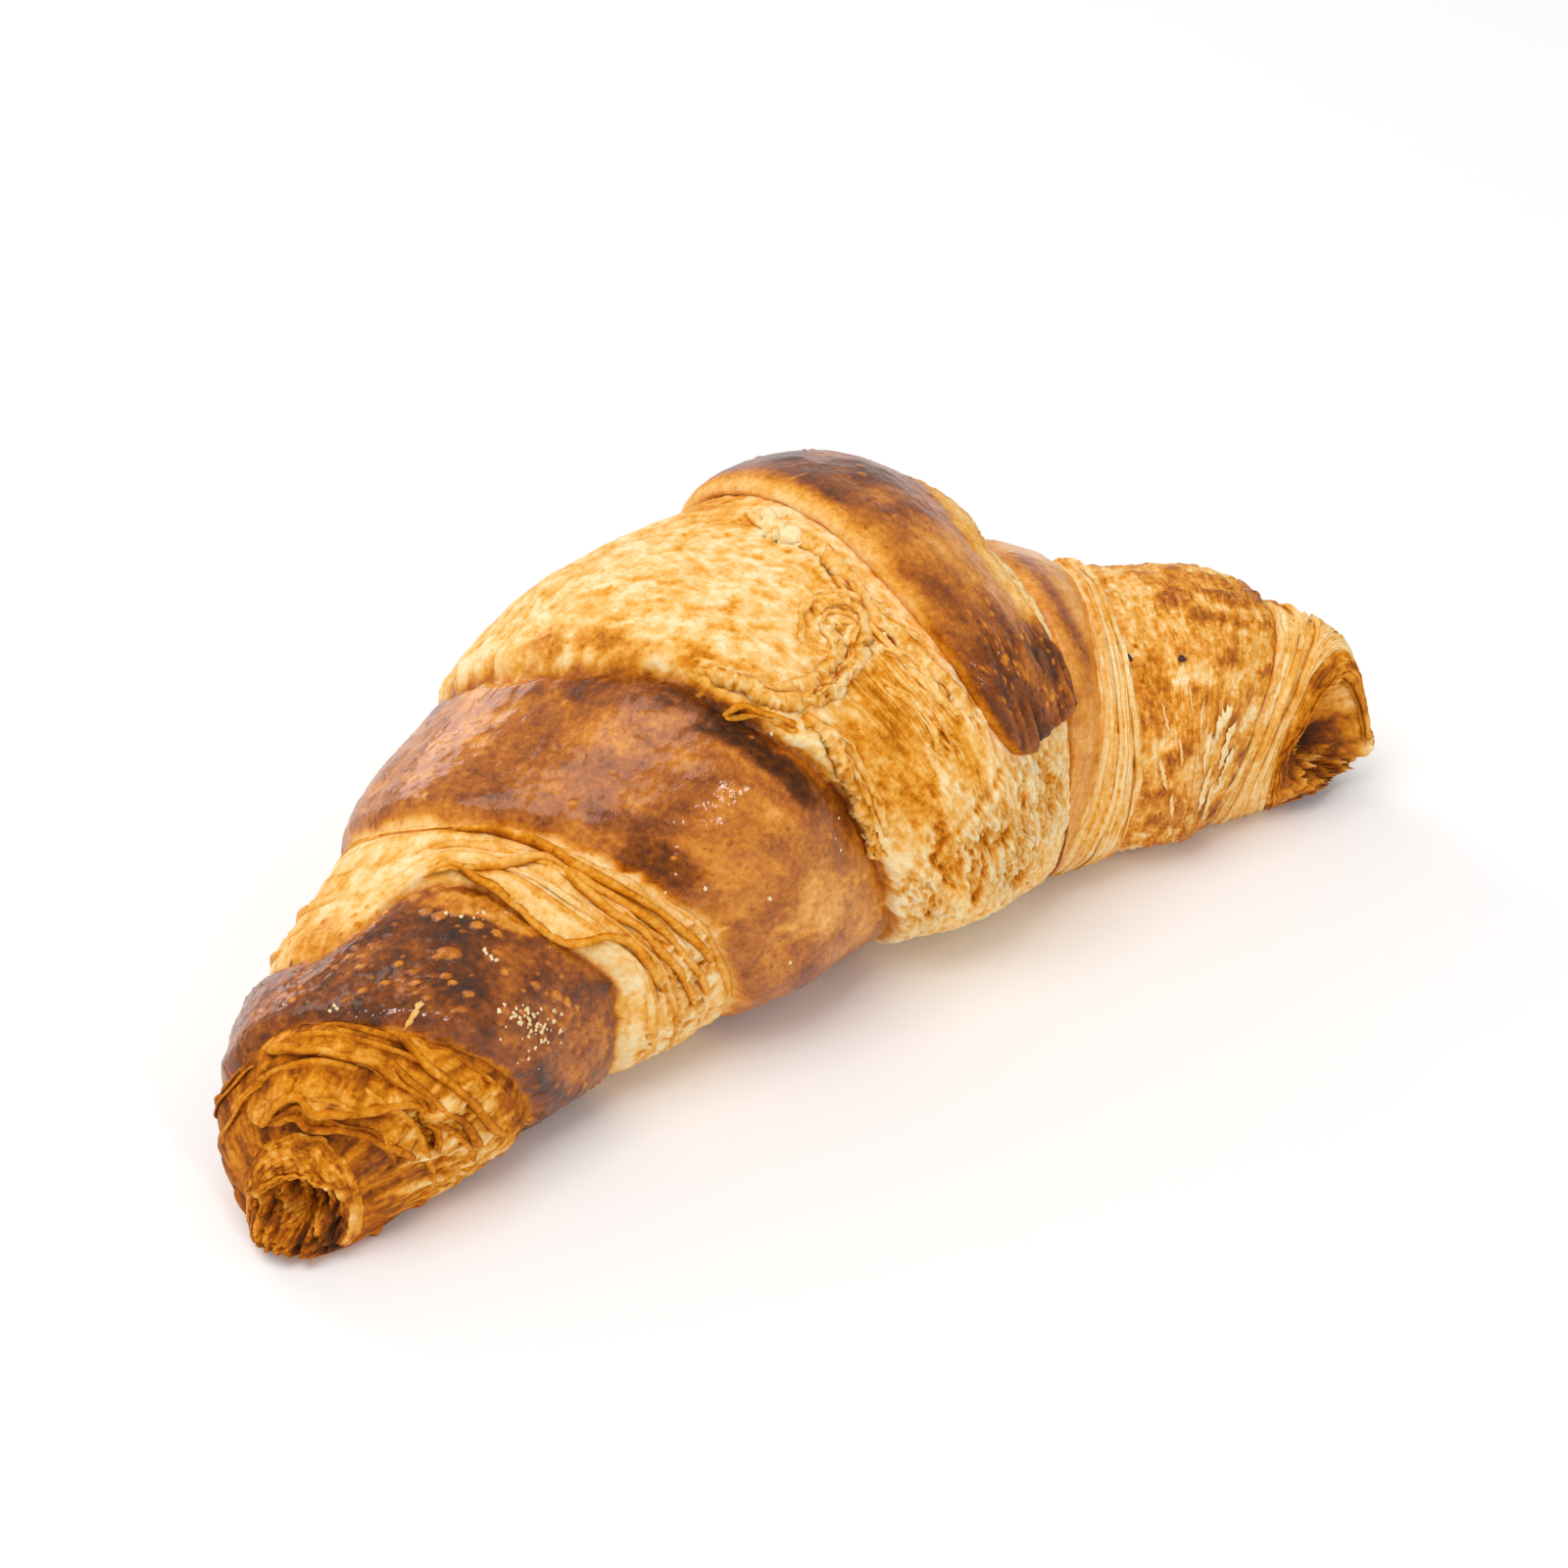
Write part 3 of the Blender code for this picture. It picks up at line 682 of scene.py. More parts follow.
# %% Open crumb
OPEN_CRUMB = (  # turn, around, half sizes, cells
    (-54.0, 0, 3.5, 16, 40), (-56.5, -30, 5.0, 16, 50), (-89.5, 8, 2.0, 14, 12), (-88.0, -26, 3.5, 18, 30),
    (-86.5, 8, 1.8, 16, 12), (4.0, -8, 14.0, 20, 150), (24.0, 8, 11.0, 18, 110), (36.5, 66, 2.0, 18, 16),
    (-20.0, -22, 6.0, 14, 40), (-56.0, 200, 5.0, 24, 40), (0.0, 205, 24.0, 20, 120), (-88.0, 215, 3.0, 20, 20),
)
foam = wrinkles(fibres(1.8, 3.0), 171, 3)
hollows = clouds(lay / (4.0, 6.0, 6.0), 181, 2)
for at_turn, at_angle, half_turn, half_angle, cells in OPEN_CRUMB:
    torn_here = patch(at_turn, at_angle, half_turn * 1.2, half_angle * 1.2, 77)
    blend(crumb, torn_here, 0.85)
    blend(wash, torn_here, 0.0)
    # the raised walls of the foam are painted lighter and its hollows darker, as light and shade
    blend(bake_and_shade, 0.6 * torn_here, 0.26 - 0.26 * (foam - 0.5) - 0.30 * hollows)
    lift += torn_here * (0.6 * (foam - 0.5) + 0.5 * hollows)
    for _ in range(cells):
        one, other = draw.normal(size=2) * 0.55
        radius = draw.uniform(0.4, 0.9)
        if math.hypot(one, other) < 1.2:
            dome(at_turn + one * half_turn, at_angle + other * half_angle, radius, -0.5 * radius, None, 0.08)

print(len(OPEN_CRUMB), "places of open crumb")

# %% The dark stripe and the hollows
# The right seam left a dark stripe on the narrow turn
STRIPE = ((43.5, 100), (44.2, 86), (45.4, 74), (46.6, 62), (47.6, 50), (48.0, 36), (48.0, 20), (47.2, 2))
index, side, down_it, ends, _ = near_line(STRIPE, 4)
spot = np.exp(-((side / (1.7 - 0.9 * down_it)) ** 2)) * ends * (1 - 0.8 * ramp(0.35, 0.7, down_it))
bake_and_shade[index] += spot * (0.56 - bake_and_shade[index])
wash[index] += spot * (1 - wash[index])

# Painted shade and light: hollows of the relief are painted darker and its ridges lighter, in the baking field
painted_hollow_shade = np.clip(-(lift - sum(np.roll(lift, n, 0) + np.roll(lift, n, 1) for n in (-5, -3, 3, 5)) / 8), -0.4, 0.5)
bake_and_shade += 0.32 * painted_hollow_shade * (1 - 0.6 * wash)

# %% The crust in space


def normals_of(points):
    """Unit normals of a grid that is closed round the roll."""
    down = np.gradient(points, axis=0)
    round_it = np.roll(points, -1, 1) - np.roll(points, 1, 1)
    n = np.cross(round_it, down)
    n /= np.maximum(np.linalg.norm(n, axis=-1, keepdims=True), 1e-9)
    middle = points.mean(1, keepdims=True)
    return n * (1 if ((points - middle) * n).sum() > 0 else -1)


smooth_crust = on_roll(turn + slide, around, out)
crust_normals = normals_of(smooth_crust)
grounded = ramp(0.2, 3.0, smooth_crust[..., 2])  # the tray has pressed the underside flat
crust = smooth_crust + crust_normals * (lift * (0.25 + 0.75 * grounded))[..., None]
crust[..., 2] = np.maximum(crust[..., 2], 0)
print("crust", crust.reshape(-1, 3).min(0).round(1), crust.reshape(-1, 3).max(0).round(1))

# %% [markdown]
# ## Finishes
# Baked dough is a scattering, waxy solid: starch, fat and browned sugar, with an index of refraction near 1.45. Where
# egg wash dried on it, a thin hard varnish covers it. Two colour ramps run from raw to burnt, one for bare dough,
# which goes through straw and amber, and one for washed dough, which goes through orange and chestnut.

# %% Colours and nodes


def linear(code):
    """An sRGB hex colour as linear light."""
    parts = [int(code[n:n + 2], 16) / 255 for n in (1, 3, 5)]
    return tuple(p / 12.92 if p <= 0.04045 else ((p + 0.055) / 1.055) ** 2.4 for p in parts) + (1.0,)


def add(material, kind, settings=None, **links):
    """Adds a node, with its settings, and links or values for its inputs (i0, i1 count them)."""
    tree = material.node_tree
    node = tree.nodes.new(kind)
    for name, value in (settings or {}).items():
        setattr(node, name, value)
    for name, value in links.items():
        key = int(name[1:]) if name[0] == "i" and name[1:].isdigit() else name.replace("_", " ")
        socket = node.inputs[key]
        if isinstance(value, bpy.types.NodeSocket):
            tree.links.new(value, socket)
        else:
            socket.default_value = value
    return node


BARE_DOUGH = ((0.0, "#FFE8B6"), (0.14, "#FCD088"), (0.28, "#F4B24E"), (0.42, "#E08C14"), (0.56, "#B66205"),
              (0.70, "#864203"), (0.84, "#592A03"), (1.0, "#2E1605"))
WASHED_DOUGH = ((0.0, "#FACB84"), (0.16, "#EFAA50"), (0.32, "#D98A26"), (0.48, "#B56412"), (0.62, "#8C460C"),
                (0.76, "#633008"), (0.88, "#4A2C1A"), (1.0, "#302015"))
FUSED = {"operation": "MULTIPLY_ADD"}

# %% [markdown]
# What the grid is too coarse for, the finish draws: starch speckle, toasted freckles, threads along the leaves, cream
# flecks where a skin came off, and the walls of open cells. Speckle and freckles are measured in space. The others
# follow the lay of the dough, so they are stretched along the leaves.

# %% The finish of baked dough
PATTERNS = {  # across and along the lay of the dough in millimetres, octaves, roughness of the noise
    "speckle": (0.9, 0.9, 5.0, 0.78), "blotch": (4.5, 4.5, 3.0, 0.6), "thread": (0.42, 14.0, 3.0, 0.6),
    "fleck": (0.9, 2.6, 4.0, 0.65), "ripple": (1.4, 1.4, 2.0, 0.5),
}
CELLS = (1.5, 2.3)  # open cells of the crumb, millimetres
FRECKLES = 1.9  # between freckles, millimetres
MIDDLE_OF_PATTERNS = -0.51  # takes off what speckle and blotch add on average
CRUST_RELIEF, VARNISH_RELIEF = 0.0004, 0.0003  # how deep the fine patterns are, metres


def baked_crust(name):
    """Baked laminated dough: dull and waxy where it is bare, varnished where egg wash dried on it."""
    material = bpy.data.materials.new(name)
    material.use_nodes = True
    shader = material.node_tree.nodes["Principled BSDF"]
    baked_and_shaded, washed, torn, lined, flecked = (
        add(material, "ShaderNodeAttribute", {"attribute_name": field}).outputs["Fac"]
        for field in ("bake_and_shade", "wash", "crumb", "lines", "flecks"))
    lie = add(material, "ShaderNodeAttribute", {"attribute_name": "lay"}).outputs["Vector"]
    here = add(material, "ShaderNodeTexCoord").outputs["Object"]
    found = {}
    for pattern, (across, along, octaves, roughness) in PATTERNS.items():
        even = across == along
        scale = (1000 / across,) * 3 if even else (1 / across, 1 / along, 1 / along)
        at = add(material, "ShaderNodeMapping", Vector=here if even else lie, Scale=scale).outputs["Vector"]
        found[pattern] = add(material, "ShaderNodeTexNoise", Vector=at, Scale=1.0, Detail=octaves, Roughness=roughness)
    speckle, blotch, thread, fleck, ripple = (found[pattern].outputs["Fac"] for pattern in PATTERNS)

    # cells: their walls dried to cream, their floors painted darker, as shade in the sunken cells
    at = add(material, "ShaderNodeMapping", Vector=lie, Scale=(1 / CELLS[0], 1 / CELLS[1], 1 / CELLS[1]))
    at = add(material, "ShaderNodeVectorMath", FUSED, i0=found["fleck"].outputs["Color"], i1=(0.9, 0.9, 0.9),
             i2=at.outputs["Vector"])
    cells = add(material, "ShaderNodeTexVoronoi", {"feature": "DISTANCE_TO_EDGE"}, Vector=at.outputs[0], Scale=1.0)
    dots = add(material, "ShaderNodeTexVoronoi", {"feature": "F1"}, Vector=here, Scale=1000 / FRECKLES)
    floors, freckles, bare_spots = (
        add(material, "ShaderNodeMapRange", i0=value, i1=low, i2=high, i3=start, i4=1 - start).outputs[0]
        for value, low, high, start in ((cells.outputs["Distance"], 0.02, 0.30, 0.0),
                                        (dots.outputs["Distance"], 0.08, 0.24, 1.0), (fleck, 0.51, 0.58, 0.0)))

    # how brown it is: the painted baking and painted shade, and the patterns everywhere or only where a field asks for
    # them
    level = baked_and_shaded
    for pattern, share in ((speckle, 0.62), (blotch, 0.40), (freckles, 0.10)):
        level = add(material, "ShaderNodeMath", FUSED, i0=pattern, i1=share, i2=level).outputs[0]
    for pattern, share, middle, field in (
        (thread, 0.70, -0.35, lined), (bare_spots, -0.26, 0.05, flecked), (floors, 0.28, -0.13, torn),
    ):
        varied = add(material, "ShaderNodeMath", FUSED, i0=pattern, i1=share, i2=middle).outputs[0]
        level = add(material, "ShaderNodeMath", FUSED, i0=varied, i1=field, i2=level).outputs[0]
    level = add(material, "ShaderNodeMath", {"operation": "ADD"}, i0=level, i1=MIDDLE_OF_PATTERNS).outputs[0]

    ramps = []
    for stops in (BARE_DOUGH, WASHED_DOUGH):
        node = add(material, "ShaderNodeValToRGB", i0=level)
        while len(node.color_ramp.elements) < len(stops):
            node.color_ramp.elements.new(0.5)
        for element, (position, code) in zip(node.color_ramp.elements, stops):
            element.position = position
            element.color = linear(code)
        ramps.append(node.outputs["Color"])
    colour = add(material, "ShaderNodeMix", {"data_type": "RGBA"}, i0=washed, i6=ramps[0], i7=ramps[1])

    # the same patterns as relief: speckle stands out, cells are sunk
    relief = add(material, "ShaderNodeMath", FUSED, i0=thread, i1=lined, i2=speckle).outputs[0]
    for pattern, height, field in ((floors, -1.2, torn), (bare_spots, 0.25, flecked)):
        raised = add(material, "ShaderNodeMath", FUSED, i0=pattern, i1=height, i2=0.0).outputs[0]
        relief = add(material, "ShaderNodeMath", FUSED, i0=raised, i1=field, i2=relief).outputs[0]

    # bare dough scatters like chalk, dried egg shines like varnish
    rough, strength = (
        add(material, "ShaderNodeMix", {"data_type": "FLOAT"}, i0=washed, i2=bare, i3=glazed).outputs[0]
        for bare, glazed in ((0.62, 0.32), (0.65, 0.50)))
    coat = add(material, "ShaderNodeMath", {"operation": "MULTIPLY"}, i0=washed, i1=0.55).outputs[0]
    bump = add(material, "ShaderNodeBump", Strength=strength, Distance=CRUST_RELIEF, Height=relief)
    varnish = add(material, "ShaderNodeBump", Strength=0.45, Distance=VARNISH_RELIEF, Height=ripple)
    for socket, source in (("Base Color", colour.outputs[2]), ("Roughness", rough), ("Coat Weight", coat),
                           ("Normal", bump.outputs["Normal"]), ("Coat Normal", varnish.outputs["Normal"])):
        material.node_tree.links.new(source, shader.inputs[socket])
    for socket, value in (("Coat Roughness", 0.14), ("IOR", 1.45), ("Specular IOR Level", 0.12),
                          ("Subsurface Weight", 0.05), ("Subsurface Radius", (1.0, 0.45, 0.15)),
                          ("Subsurface Scale", 0.001)):
        shader.inputs[socket].default_value = value
    return material


CRUST = baked_crust("baked_laminated_dough")

# %% [markdown]
# ## Meshes
# A grid of points becomes a mesh by joining each point to its three neighbours. The fields go along as attributes, so
# the material can read them, and every piece gets a flat map of its own for baking.

# %% Making meshes of grids
FIELDS = ("bake_and_shade", "wash", "crumb", "lines", "flecks", "lay")
USED_WIDTH = 0.98  # of a grid's share of the flat map, so that neighbours don't touch


def corners_of(grid, closed):
    """The four corners of every face of a grid of numbers or points."""
    if closed:
        grid = np.concatenate([grid, grid[:, :1]], 1)
    return np.stack([grid[:-1, :-1], grid[1:, :-1], grid[1:, 1:], grid[:-1, 1:]], 2)


def piece_of_grids(name, grids, closed=True):
    """One mesh of one or more grids, each given as its points and its fields."""
    faces, flats, count = [], [], 0
    for number, (points, _) in enumerate(grids):
        rows, cols = points.shape[:2]
        index = np.arange(rows * cols).reshape(rows, cols) + count
        faces.append(corners_of(index, closed).reshape(-1, 4))
        across, along = np.meshgrid(np.linspace(0, USED_WIDTH, cols + int(closed)), np.linspace(0, 1, rows))
        flat = np.stack([(number + across) / len(grids), along], -1)
        flats.append(corners_of(flat, False).reshape(-1, 2))
        count += rows * cols
    faces = np.concatenate(faces)
    where = np.concatenate([points.reshape(-1, 3) for points, _ in grids])
    mesh = bpy.data.meshes.new(name)
    mesh.vertices.add(count)
    mesh.vertices.foreach_set("co", (where * MM).astype(np.float32).ravel())
    mesh.loops.add(faces.size)
    mesh.loops.foreach_set("vertex_index", faces.ravel().astype(np.int32))
    mesh.polygons.add(len(faces))
    mesh.polygons.foreach_set("loop_start", np.arange(0, faces.size, 4, dtype=np.int32))
    mesh.update(calc_edges=True)
    mesh.uv_layers.new(name="OFBake").data.foreach_set("uv", np.concatenate(flats).astype(np.float32).ravel())
    for field in FIELDS:
        kind = "FLOAT_VECTOR" if field == "lay" else "FLOAT"
        layer = mesh.attributes.new(field, kind, "POINT")
        values = [np.broadcast_to(fields.get(field, 0.0), points.shape if field == "lay" else points.shape[:2])
                  for points, fields in grids]
        values = np.concatenate([value.astype(np.float32).ravel() for value in values])
        if field != "lay":
            values = np.clip(values, 0, 1)
        layer.data.foreach_set("vector" if field == "lay" else "value", values)
    mesh.materials.append(CRUST)
    mesh.shade_smooth()
    made = bpy.data.objects.new(name, mesh)
    bpy.context.scene.collection.objects.link(made)
    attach(made, "root")
    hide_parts("croissant")
    print(name, len(faces) * 2, "triangles")


crust_fields = dict(zip(FIELDS, (bake_and_shade, wash, crumb, lines, flecks, lay)))
for piece, (first_row, last_row) in rows_of.items():
    part = slice(first_row, last_row + 1)
    piece_of_grids(piece, [(crust[part][:, ::-1], {key: value[part][:, ::-1] for key, value in crust_fields.items()})])

# %% [markdown]
# ## The two ends
# At each tip one looks into the roll: the last leaf makes a rim, and inside it hangs the rolled core, baked dark, in
# curtains. Deeper in the hollow and in the folds of the curtains the colour is painted darker still, as shade, and
# their ridges lighter. Both ends are grids too, from the rim inwards. The folds are waves round the hollow, and they
# grow towards the tray, where the core juts out.

# %% Ends of the roll
END_ROWS, END_DEPTH, END_RADIUS = 90, 14, 9  # the last two lay out its patterns, in millimetres
INSIDE_BAKE_AND_SHADE, LEAF_BAKE = 0.66, 0.50


def end_of_roll(rim, outward, core_height, depth, foot, folds, seed, cover, crumpled, tan):
    """The end from its rim inwards; its last leaf covers a share of it on top, and tan is added to a sheet behind."""
    angle = np.radians(columns)
    down = (1 - np.sin(angle)) / 2
    core = rim.mean(0)
    core[2] = core_height
    t = np.linspace(0, 1, END_ROWS)[:, None]
    field = laid_out(3 * t, columns, 1)
    warp = 0.5 * clouds(field * 1.3, seed, 3)
    fray = clouds(ring * 2.2, seed + 13, 3)
    edge = 0.06 + cover * np.clip(np.sin(angle), 0, 1) ** 0.7 + 0.04 * fray[None]
    inner = np.clip((t - edge) / (1 - edge), 0, 1)
    leaf = 1 - ramp(-0.02, 0.03, t - edge)
    cap = 1.6 * np.sin(0.5 * np.pi * np.clip(t / edge, 0, 1)) * np.clip(edge / 0.3, 0, 1)
    hollow = cap - (depth + 1.2) * ramp(0.0, 0.35, inner)
    jutting = foot * np.sin(np.pi * t) - depth / 2 * ramp(0.4, 1, t)
    sideways = np.array((-outward[1], outward[0]))
    across = ((rim - core)[:, :2] @ sideways) * (1 - t)
    high = rim[:, 2] + (core[2] - rim[:, 2]) * t
    hanging = np.stack([across / folds, high / (4 * folds), np.full_like(high, seed)], -1)
    curtain = 2.4 * (wrinkles(hanging, seed + 5, 3) - 0.45)
    crumple = clouds(field * (3.5, 5.0, 5.0), seed + 7, 4)
    inside = np.sin(np.pi * np.clip(inner * 1.05, 0, 1)) ** 0.7
    push = hollow * (1 - down) + jutting * down + inside * (1.5 * curtain + crumpled * crumple)
    push = push + leaf * 0.35 * clouds(field * (4.0, 6.0, 6.0), seed + 9, 3)
    points = rim + (core - rim) * t[..., None] * (1 + 0.12 * (warp * inside)[..., None])
    points = points + np.array(outward) * push[..., None]
    points[..., 2] = np.maximum(points[..., 2], 0)
    # the inside is baked dark, and painted darker still deeper in the hollow and in the folds of the curtains and
    # crumples, and lighter on their ridges: painted shade and light
    dark = INSIDE_BAKE_AND_SHADE + 0.18 * ramp(0.0, 0.25, inner) - 0.42 * curtain - 0.24 * crumple
    back = ramp(0.0, 0.5, np.cos(angle - np.radians(160))) * (1 - ramp(0.10, 0.20, inner))
    rim_lines = wrinkles(field * (9.0, 2.5, 2.5), seed + 11, 2)
    fields = {
        "bake_and_shade": leaf * (LEAF_BAKE + 0.22 * crumple - 0.3 * (rim_lines - 0.5)) + (1 - leaf) * dark + tan * back,
        "wash": 0.12 * (1 - leaf), "lines": 0.3 + 0.4 * leaf,
        "lay": laid_out(END_DEPTH * t, columns, END_RADIUS),
    }
    rows = np.clip(edge[0] * (END_ROWS - 1), 1, END_ROWS - 1).round().astype(int)
    border = points[rows, np.arange(len(columns))]
    return points[:, ::2], {key: value[:, ::2] for key, value in fields.items()}, border


tip_bend = GIRTH[-1][0] / SPINE_RADIUS
left_out = (-math.cos(tip_bend), -math.sin(tip_bend), 0.0)
right_out = (math.cos(tip_bend), -math.sin(tip_bend), 0.0)
end_points, end_fields, left_border = end_of_roll(
    crust[0], left_out, core_height=5.2, depth=3.0, foot=4.5, folds=2.8, seed=501, cover=0.34, crumpled=1.0, tan=0.0)
piece_of_grids("left_core", [(end_points, end_fields)])
end_points, end_fields, right_border = end_of_roll(
    crust[-1], right_out, core_height=7.0, depth=7.0, foot=5.0, folds=2.4, seed=511, cover=0.16, crumpled=2.6,
    tan=-0.06)
piece_of_grids("right_core", [(end_points[:, ::-1], {key: value[:, ::-1] for key, value in end_fields.items()})])

# %% [markdown]
# ## The tongue
# The corner of the dough triangle comes over the top from the back and ends on the front, a sheet three millimetres
# thick with rounded edges. It is a grid of its own that lies on the burst: its sides and its end follow lines given
# by a few stations, and the outermost rows turn down into the dough below.

# %% The tongue


def read(field, at_turn, at_angle):
    """A grid field read between its points."""
    row = np.interp(at_turn, turns, np.arange(len(turns)))
    looped = np.concatenate([columns, [FIRST_ANGLE + 360.0]])
    column = np.interp(np.mod(at_angle - FIRST_ANGLE, 360) + FIRST_ANGLE, looped, np.arange(len(looped)))
    r, c = np.minimum(row.astype(int), len(turns) - 2), column.astype(int) % len(columns)
    after = (c + 1) % len(columns)
    down, across = row - r, column - np.floor(column)
    if field.ndim == 3:
        down, across = down[..., None], across[..., None]
    return ((field[r, c] * (1 - across) + field[r, after] * across) * (1 - down)
            + (field[r + 1, c] * (1 - across) + field[r + 1, after] * across) * down)


# Its two sides: angle round the roll, turn. Its tip: share of its width from the left, angle.
TONGUE_LEFT = ((18, 9.5), (24, 8.2), (31, 7.2), (44, 6.4), (56, 6.0), (66, 6.3), (77, 7.0), (98, 7.6), (135, 8.0),
               (180, 8.0), (245, 8.5))
TONGUE_RIGHT = ((20, 38.6), (26, 38.6), (33, 38.9), (40, 38.6), (47, 37.4), (54, 35.0), (62, 32.8), (76, 32.0),
                (88, 34.0), (104, 36.0), (130, 37.5), (180, 38.0), (245, 38.0))
TONGUE_TIP = ((0.0, 27.0), (0.04, 22.5), (0.10, 19.5), (0.20, 19.0), (0.40, 22.5), (0.65, 26.0), (0.88, 30.0),
              (0.96, 33.0), (1.0, 38.0))
WALL = ((0.9, -1.3), (0.35, -0.7), (0.1, 0.0), (-0.1, 0.6), (-0.1, 1.2), (0.1, 1.8), (0.45, 2.2), (1.0, 2.5),
        (1.8, 2.7), (3.0, 2.8))  # inset from the edge and height over the dough, millimetres
TONGUE_ROWS, TONGUE_COLUMNS, TONGUE_START, TONGUE_END = 300, 96, 24, 245
TONGUE_RADIUS, TONGUE_DEGREE_MM = 28.0, 0.52
inset, wall_height = np.array(WALL).T
end_share = np.concatenate([inset * 0.0045, np.linspace(0.017, 1, TONGUE_ROWS)])
row_angle = TONGUE_START + end_share * (TONGUE_END - TONGUE_START)
span = through(TONGUE_RIGHT, row_angle) - through(TONGUE_LEFT, row_angle)
gentle = 1 + 1.0 * ramp(44, 66, row_angle)  # higher up the left edge slopes into the burst
left_share = inset * gentle[:, None] / span[:, None]
right_share = 1 - inset[::-1] / span[:, None]
middle = np.linspace(0, 1, TONGUE_COLUMNS + 2)[1:-1]
middle_share = left_share[:, -1:] + (right_share[:, :1] - left_share[:, -1:]) * middle
share = np.concatenate([left_share, middle_share, right_share], 1)  # of the tongue's width
side_height = np.concatenate([wall_height, np.full(TONGUE_COLUMNS, wall_height[-1]), wall_height[::-1]])
end_height = np.concatenate([wall_height, np.full(TONGUE_ROWS, wall_height[-1])])
tip_angle = through(TONGUE_TIP, np.clip(share, 0, 1))
angle = tip_angle + end_share[:, None] * (TONGUE_END - tip_angle)
left_turn, right_turn = through(TONGUE_LEFT, angle), through(TONGUE_RIGHT, angle)
tongue_turn = left_turn + (right_turn - left_turn) * share
over = np.minimum(side_height[None], end_height[:, None]) - 4.0 * ramp(195, 240, angle)
print("tongue grid", over.shape)

# %% Relief and baking of the tongue
tongue_lay = laid_out(tongue_turn, angle, TONGUE_RADIUS)
tip = 1 - ramp(36, 56, angle + 8 * noise(tongue_lay / 5, 401) - 6 * share)
ribs = wrinkles(tongue_lay / (4.2, 11.0, 11.0), 411, 3)
mottle = clouds(tongue_lay / (5.0, 6.0, 6.0), 421, 4)
top_of_sheet = ramp(1.6, 2.7, over)
fine = top_of_sheet * (0.12 * clouds(tongue_lay / 3, 431, 3) + tip * 1.7 * (ribs - 0.5) + 0.22 * mottle)
side_lines = np.sin(over * 9 + 2 * noise(tongue_lay / 3, 441))  # the leaves that show in the wall of the sheet
side_leaves = (1 - top_of_sheet) * 0.25 * side_lines
blister_tone = np.zeros_like(fine)
draw = np.random.default_rng(17)
for _ in range(90):  # little blisters, which stayed yellow; most are on the dark tip
    at_share = draw.uniform(0.08, 0.94)
    at_angle = draw.uniform(26, 58) if draw.random() < 0.6 else draw.uniform(58, 160)
    low, high = (through(side, np.array([at_angle]))[0] for side in (TONGUE_LEFT, TONGUE_RIGHT))
    at_turn = low * (1 - at_share) + high * at_share
    away = np.hypot(tongue_turn - at_turn, (angle - at_angle) * TONGUE_DEGREE_MM) / draw.uniform(0.25, 0.55)
    body = np.clip(1 - away**2, 0, 1)
    fine += 0.22 * body**0.8
    blister_tone = np.maximum(blister_tone, ramp(0, 0.4, body))
tongue_bake_and_shade = 0.54 + 0.20 * mottle + 0.06 * clouds(tongue_lay / (2.0, 7.0, 7.0), 451, 3)
tongue_bake_and_shade += 0.14 * ramp(80, 100, angle + 8 * mottle) * (1 - ramp(0.55, 0.8, share))
tongue_bake_and_shade -= 0.22 * np.exp(-(((angle - 63) / 10) ** 2)) * ramp(0.1, 0.5, share)
# the dark tip is baked browner, and its ribs are painted lighter on their ridges and darker in their folds, as light
# and shade
tongue_bake_and_shade += tip * (0.22 - 0.36 * (ribs - 0.45))
left_slope = (1 - ramp(0.05, 0.15, share + 0.05 * mottle)) * ramp(48, 66, angle)
tongue_bake_and_shade += left_slope * (0.30 - tongue_bake_and_shade) * 0.6
right_slope = ramp(0.71, 0.80, share + 0.10 * mottle) * ramp(46, 62, angle) * (1 - ramp(110, 130, angle))
fine += right_slope * 0.7 * (wrinkles(tongue_lay / 2.1, 461, 3) - 0.5)
tongue_bake_and_shade += right_slope * (0.20 + 0.2 * mottle - tongue_bake_and_shade) * 0.9
pale_side = np.maximum(left_slope, right_slope)
tongue_bake_and_shade += blister_tone * (0.30 - tongue_bake_and_shade) * 0.75
below = read(smooth_crust, tongue_turn, angle)
lean = read(crust_normals, tongue_turn, angle)
lean /= np.linalg.norm(lean, axis=-1, keepdims=True)
tongue_points = below + lean * (over + fine + side_leaves)[..., None]
tongue_points[..., 2] = np.maximum(tongue_points[..., 2], 0.05)
rim_tone = 0.32 + 0.14 * side_lines + 0.3 * tip
tongue_bake_and_shade = tongue_bake_and_shade * top_of_sheet + (1 - top_of_sheet) * (rim_tone * (1 - pale_side) + 0.2 * pale_side)
tongue_wash = top_of_sheet * (0.85 - 0.5 * left_slope - 0.8 * right_slope - 0.2 * tip).clip(0, 1)
tongue_fields = {"bake_and_shade": tongue_bake_and_shade, "wash": tongue_wash, "lines": 0.15, "lay": tongue_lay}
piece_of_grids("tongue", [(tongue_points, tongue_fields)], closed=False)

# %% [markdown]
# ## Lips, flakes and crumbs
# The edge of a leaf is a sheet a third of a millimetre thick that stands up, curls over and throws a shadow under
# itself. A grid that is moved along its normals can't fold over, so these lips are narrow strips of their own, with a
# cross-section like a breaking wave, laid along paths on the crust. A loose flake is a short tube pressed flat.

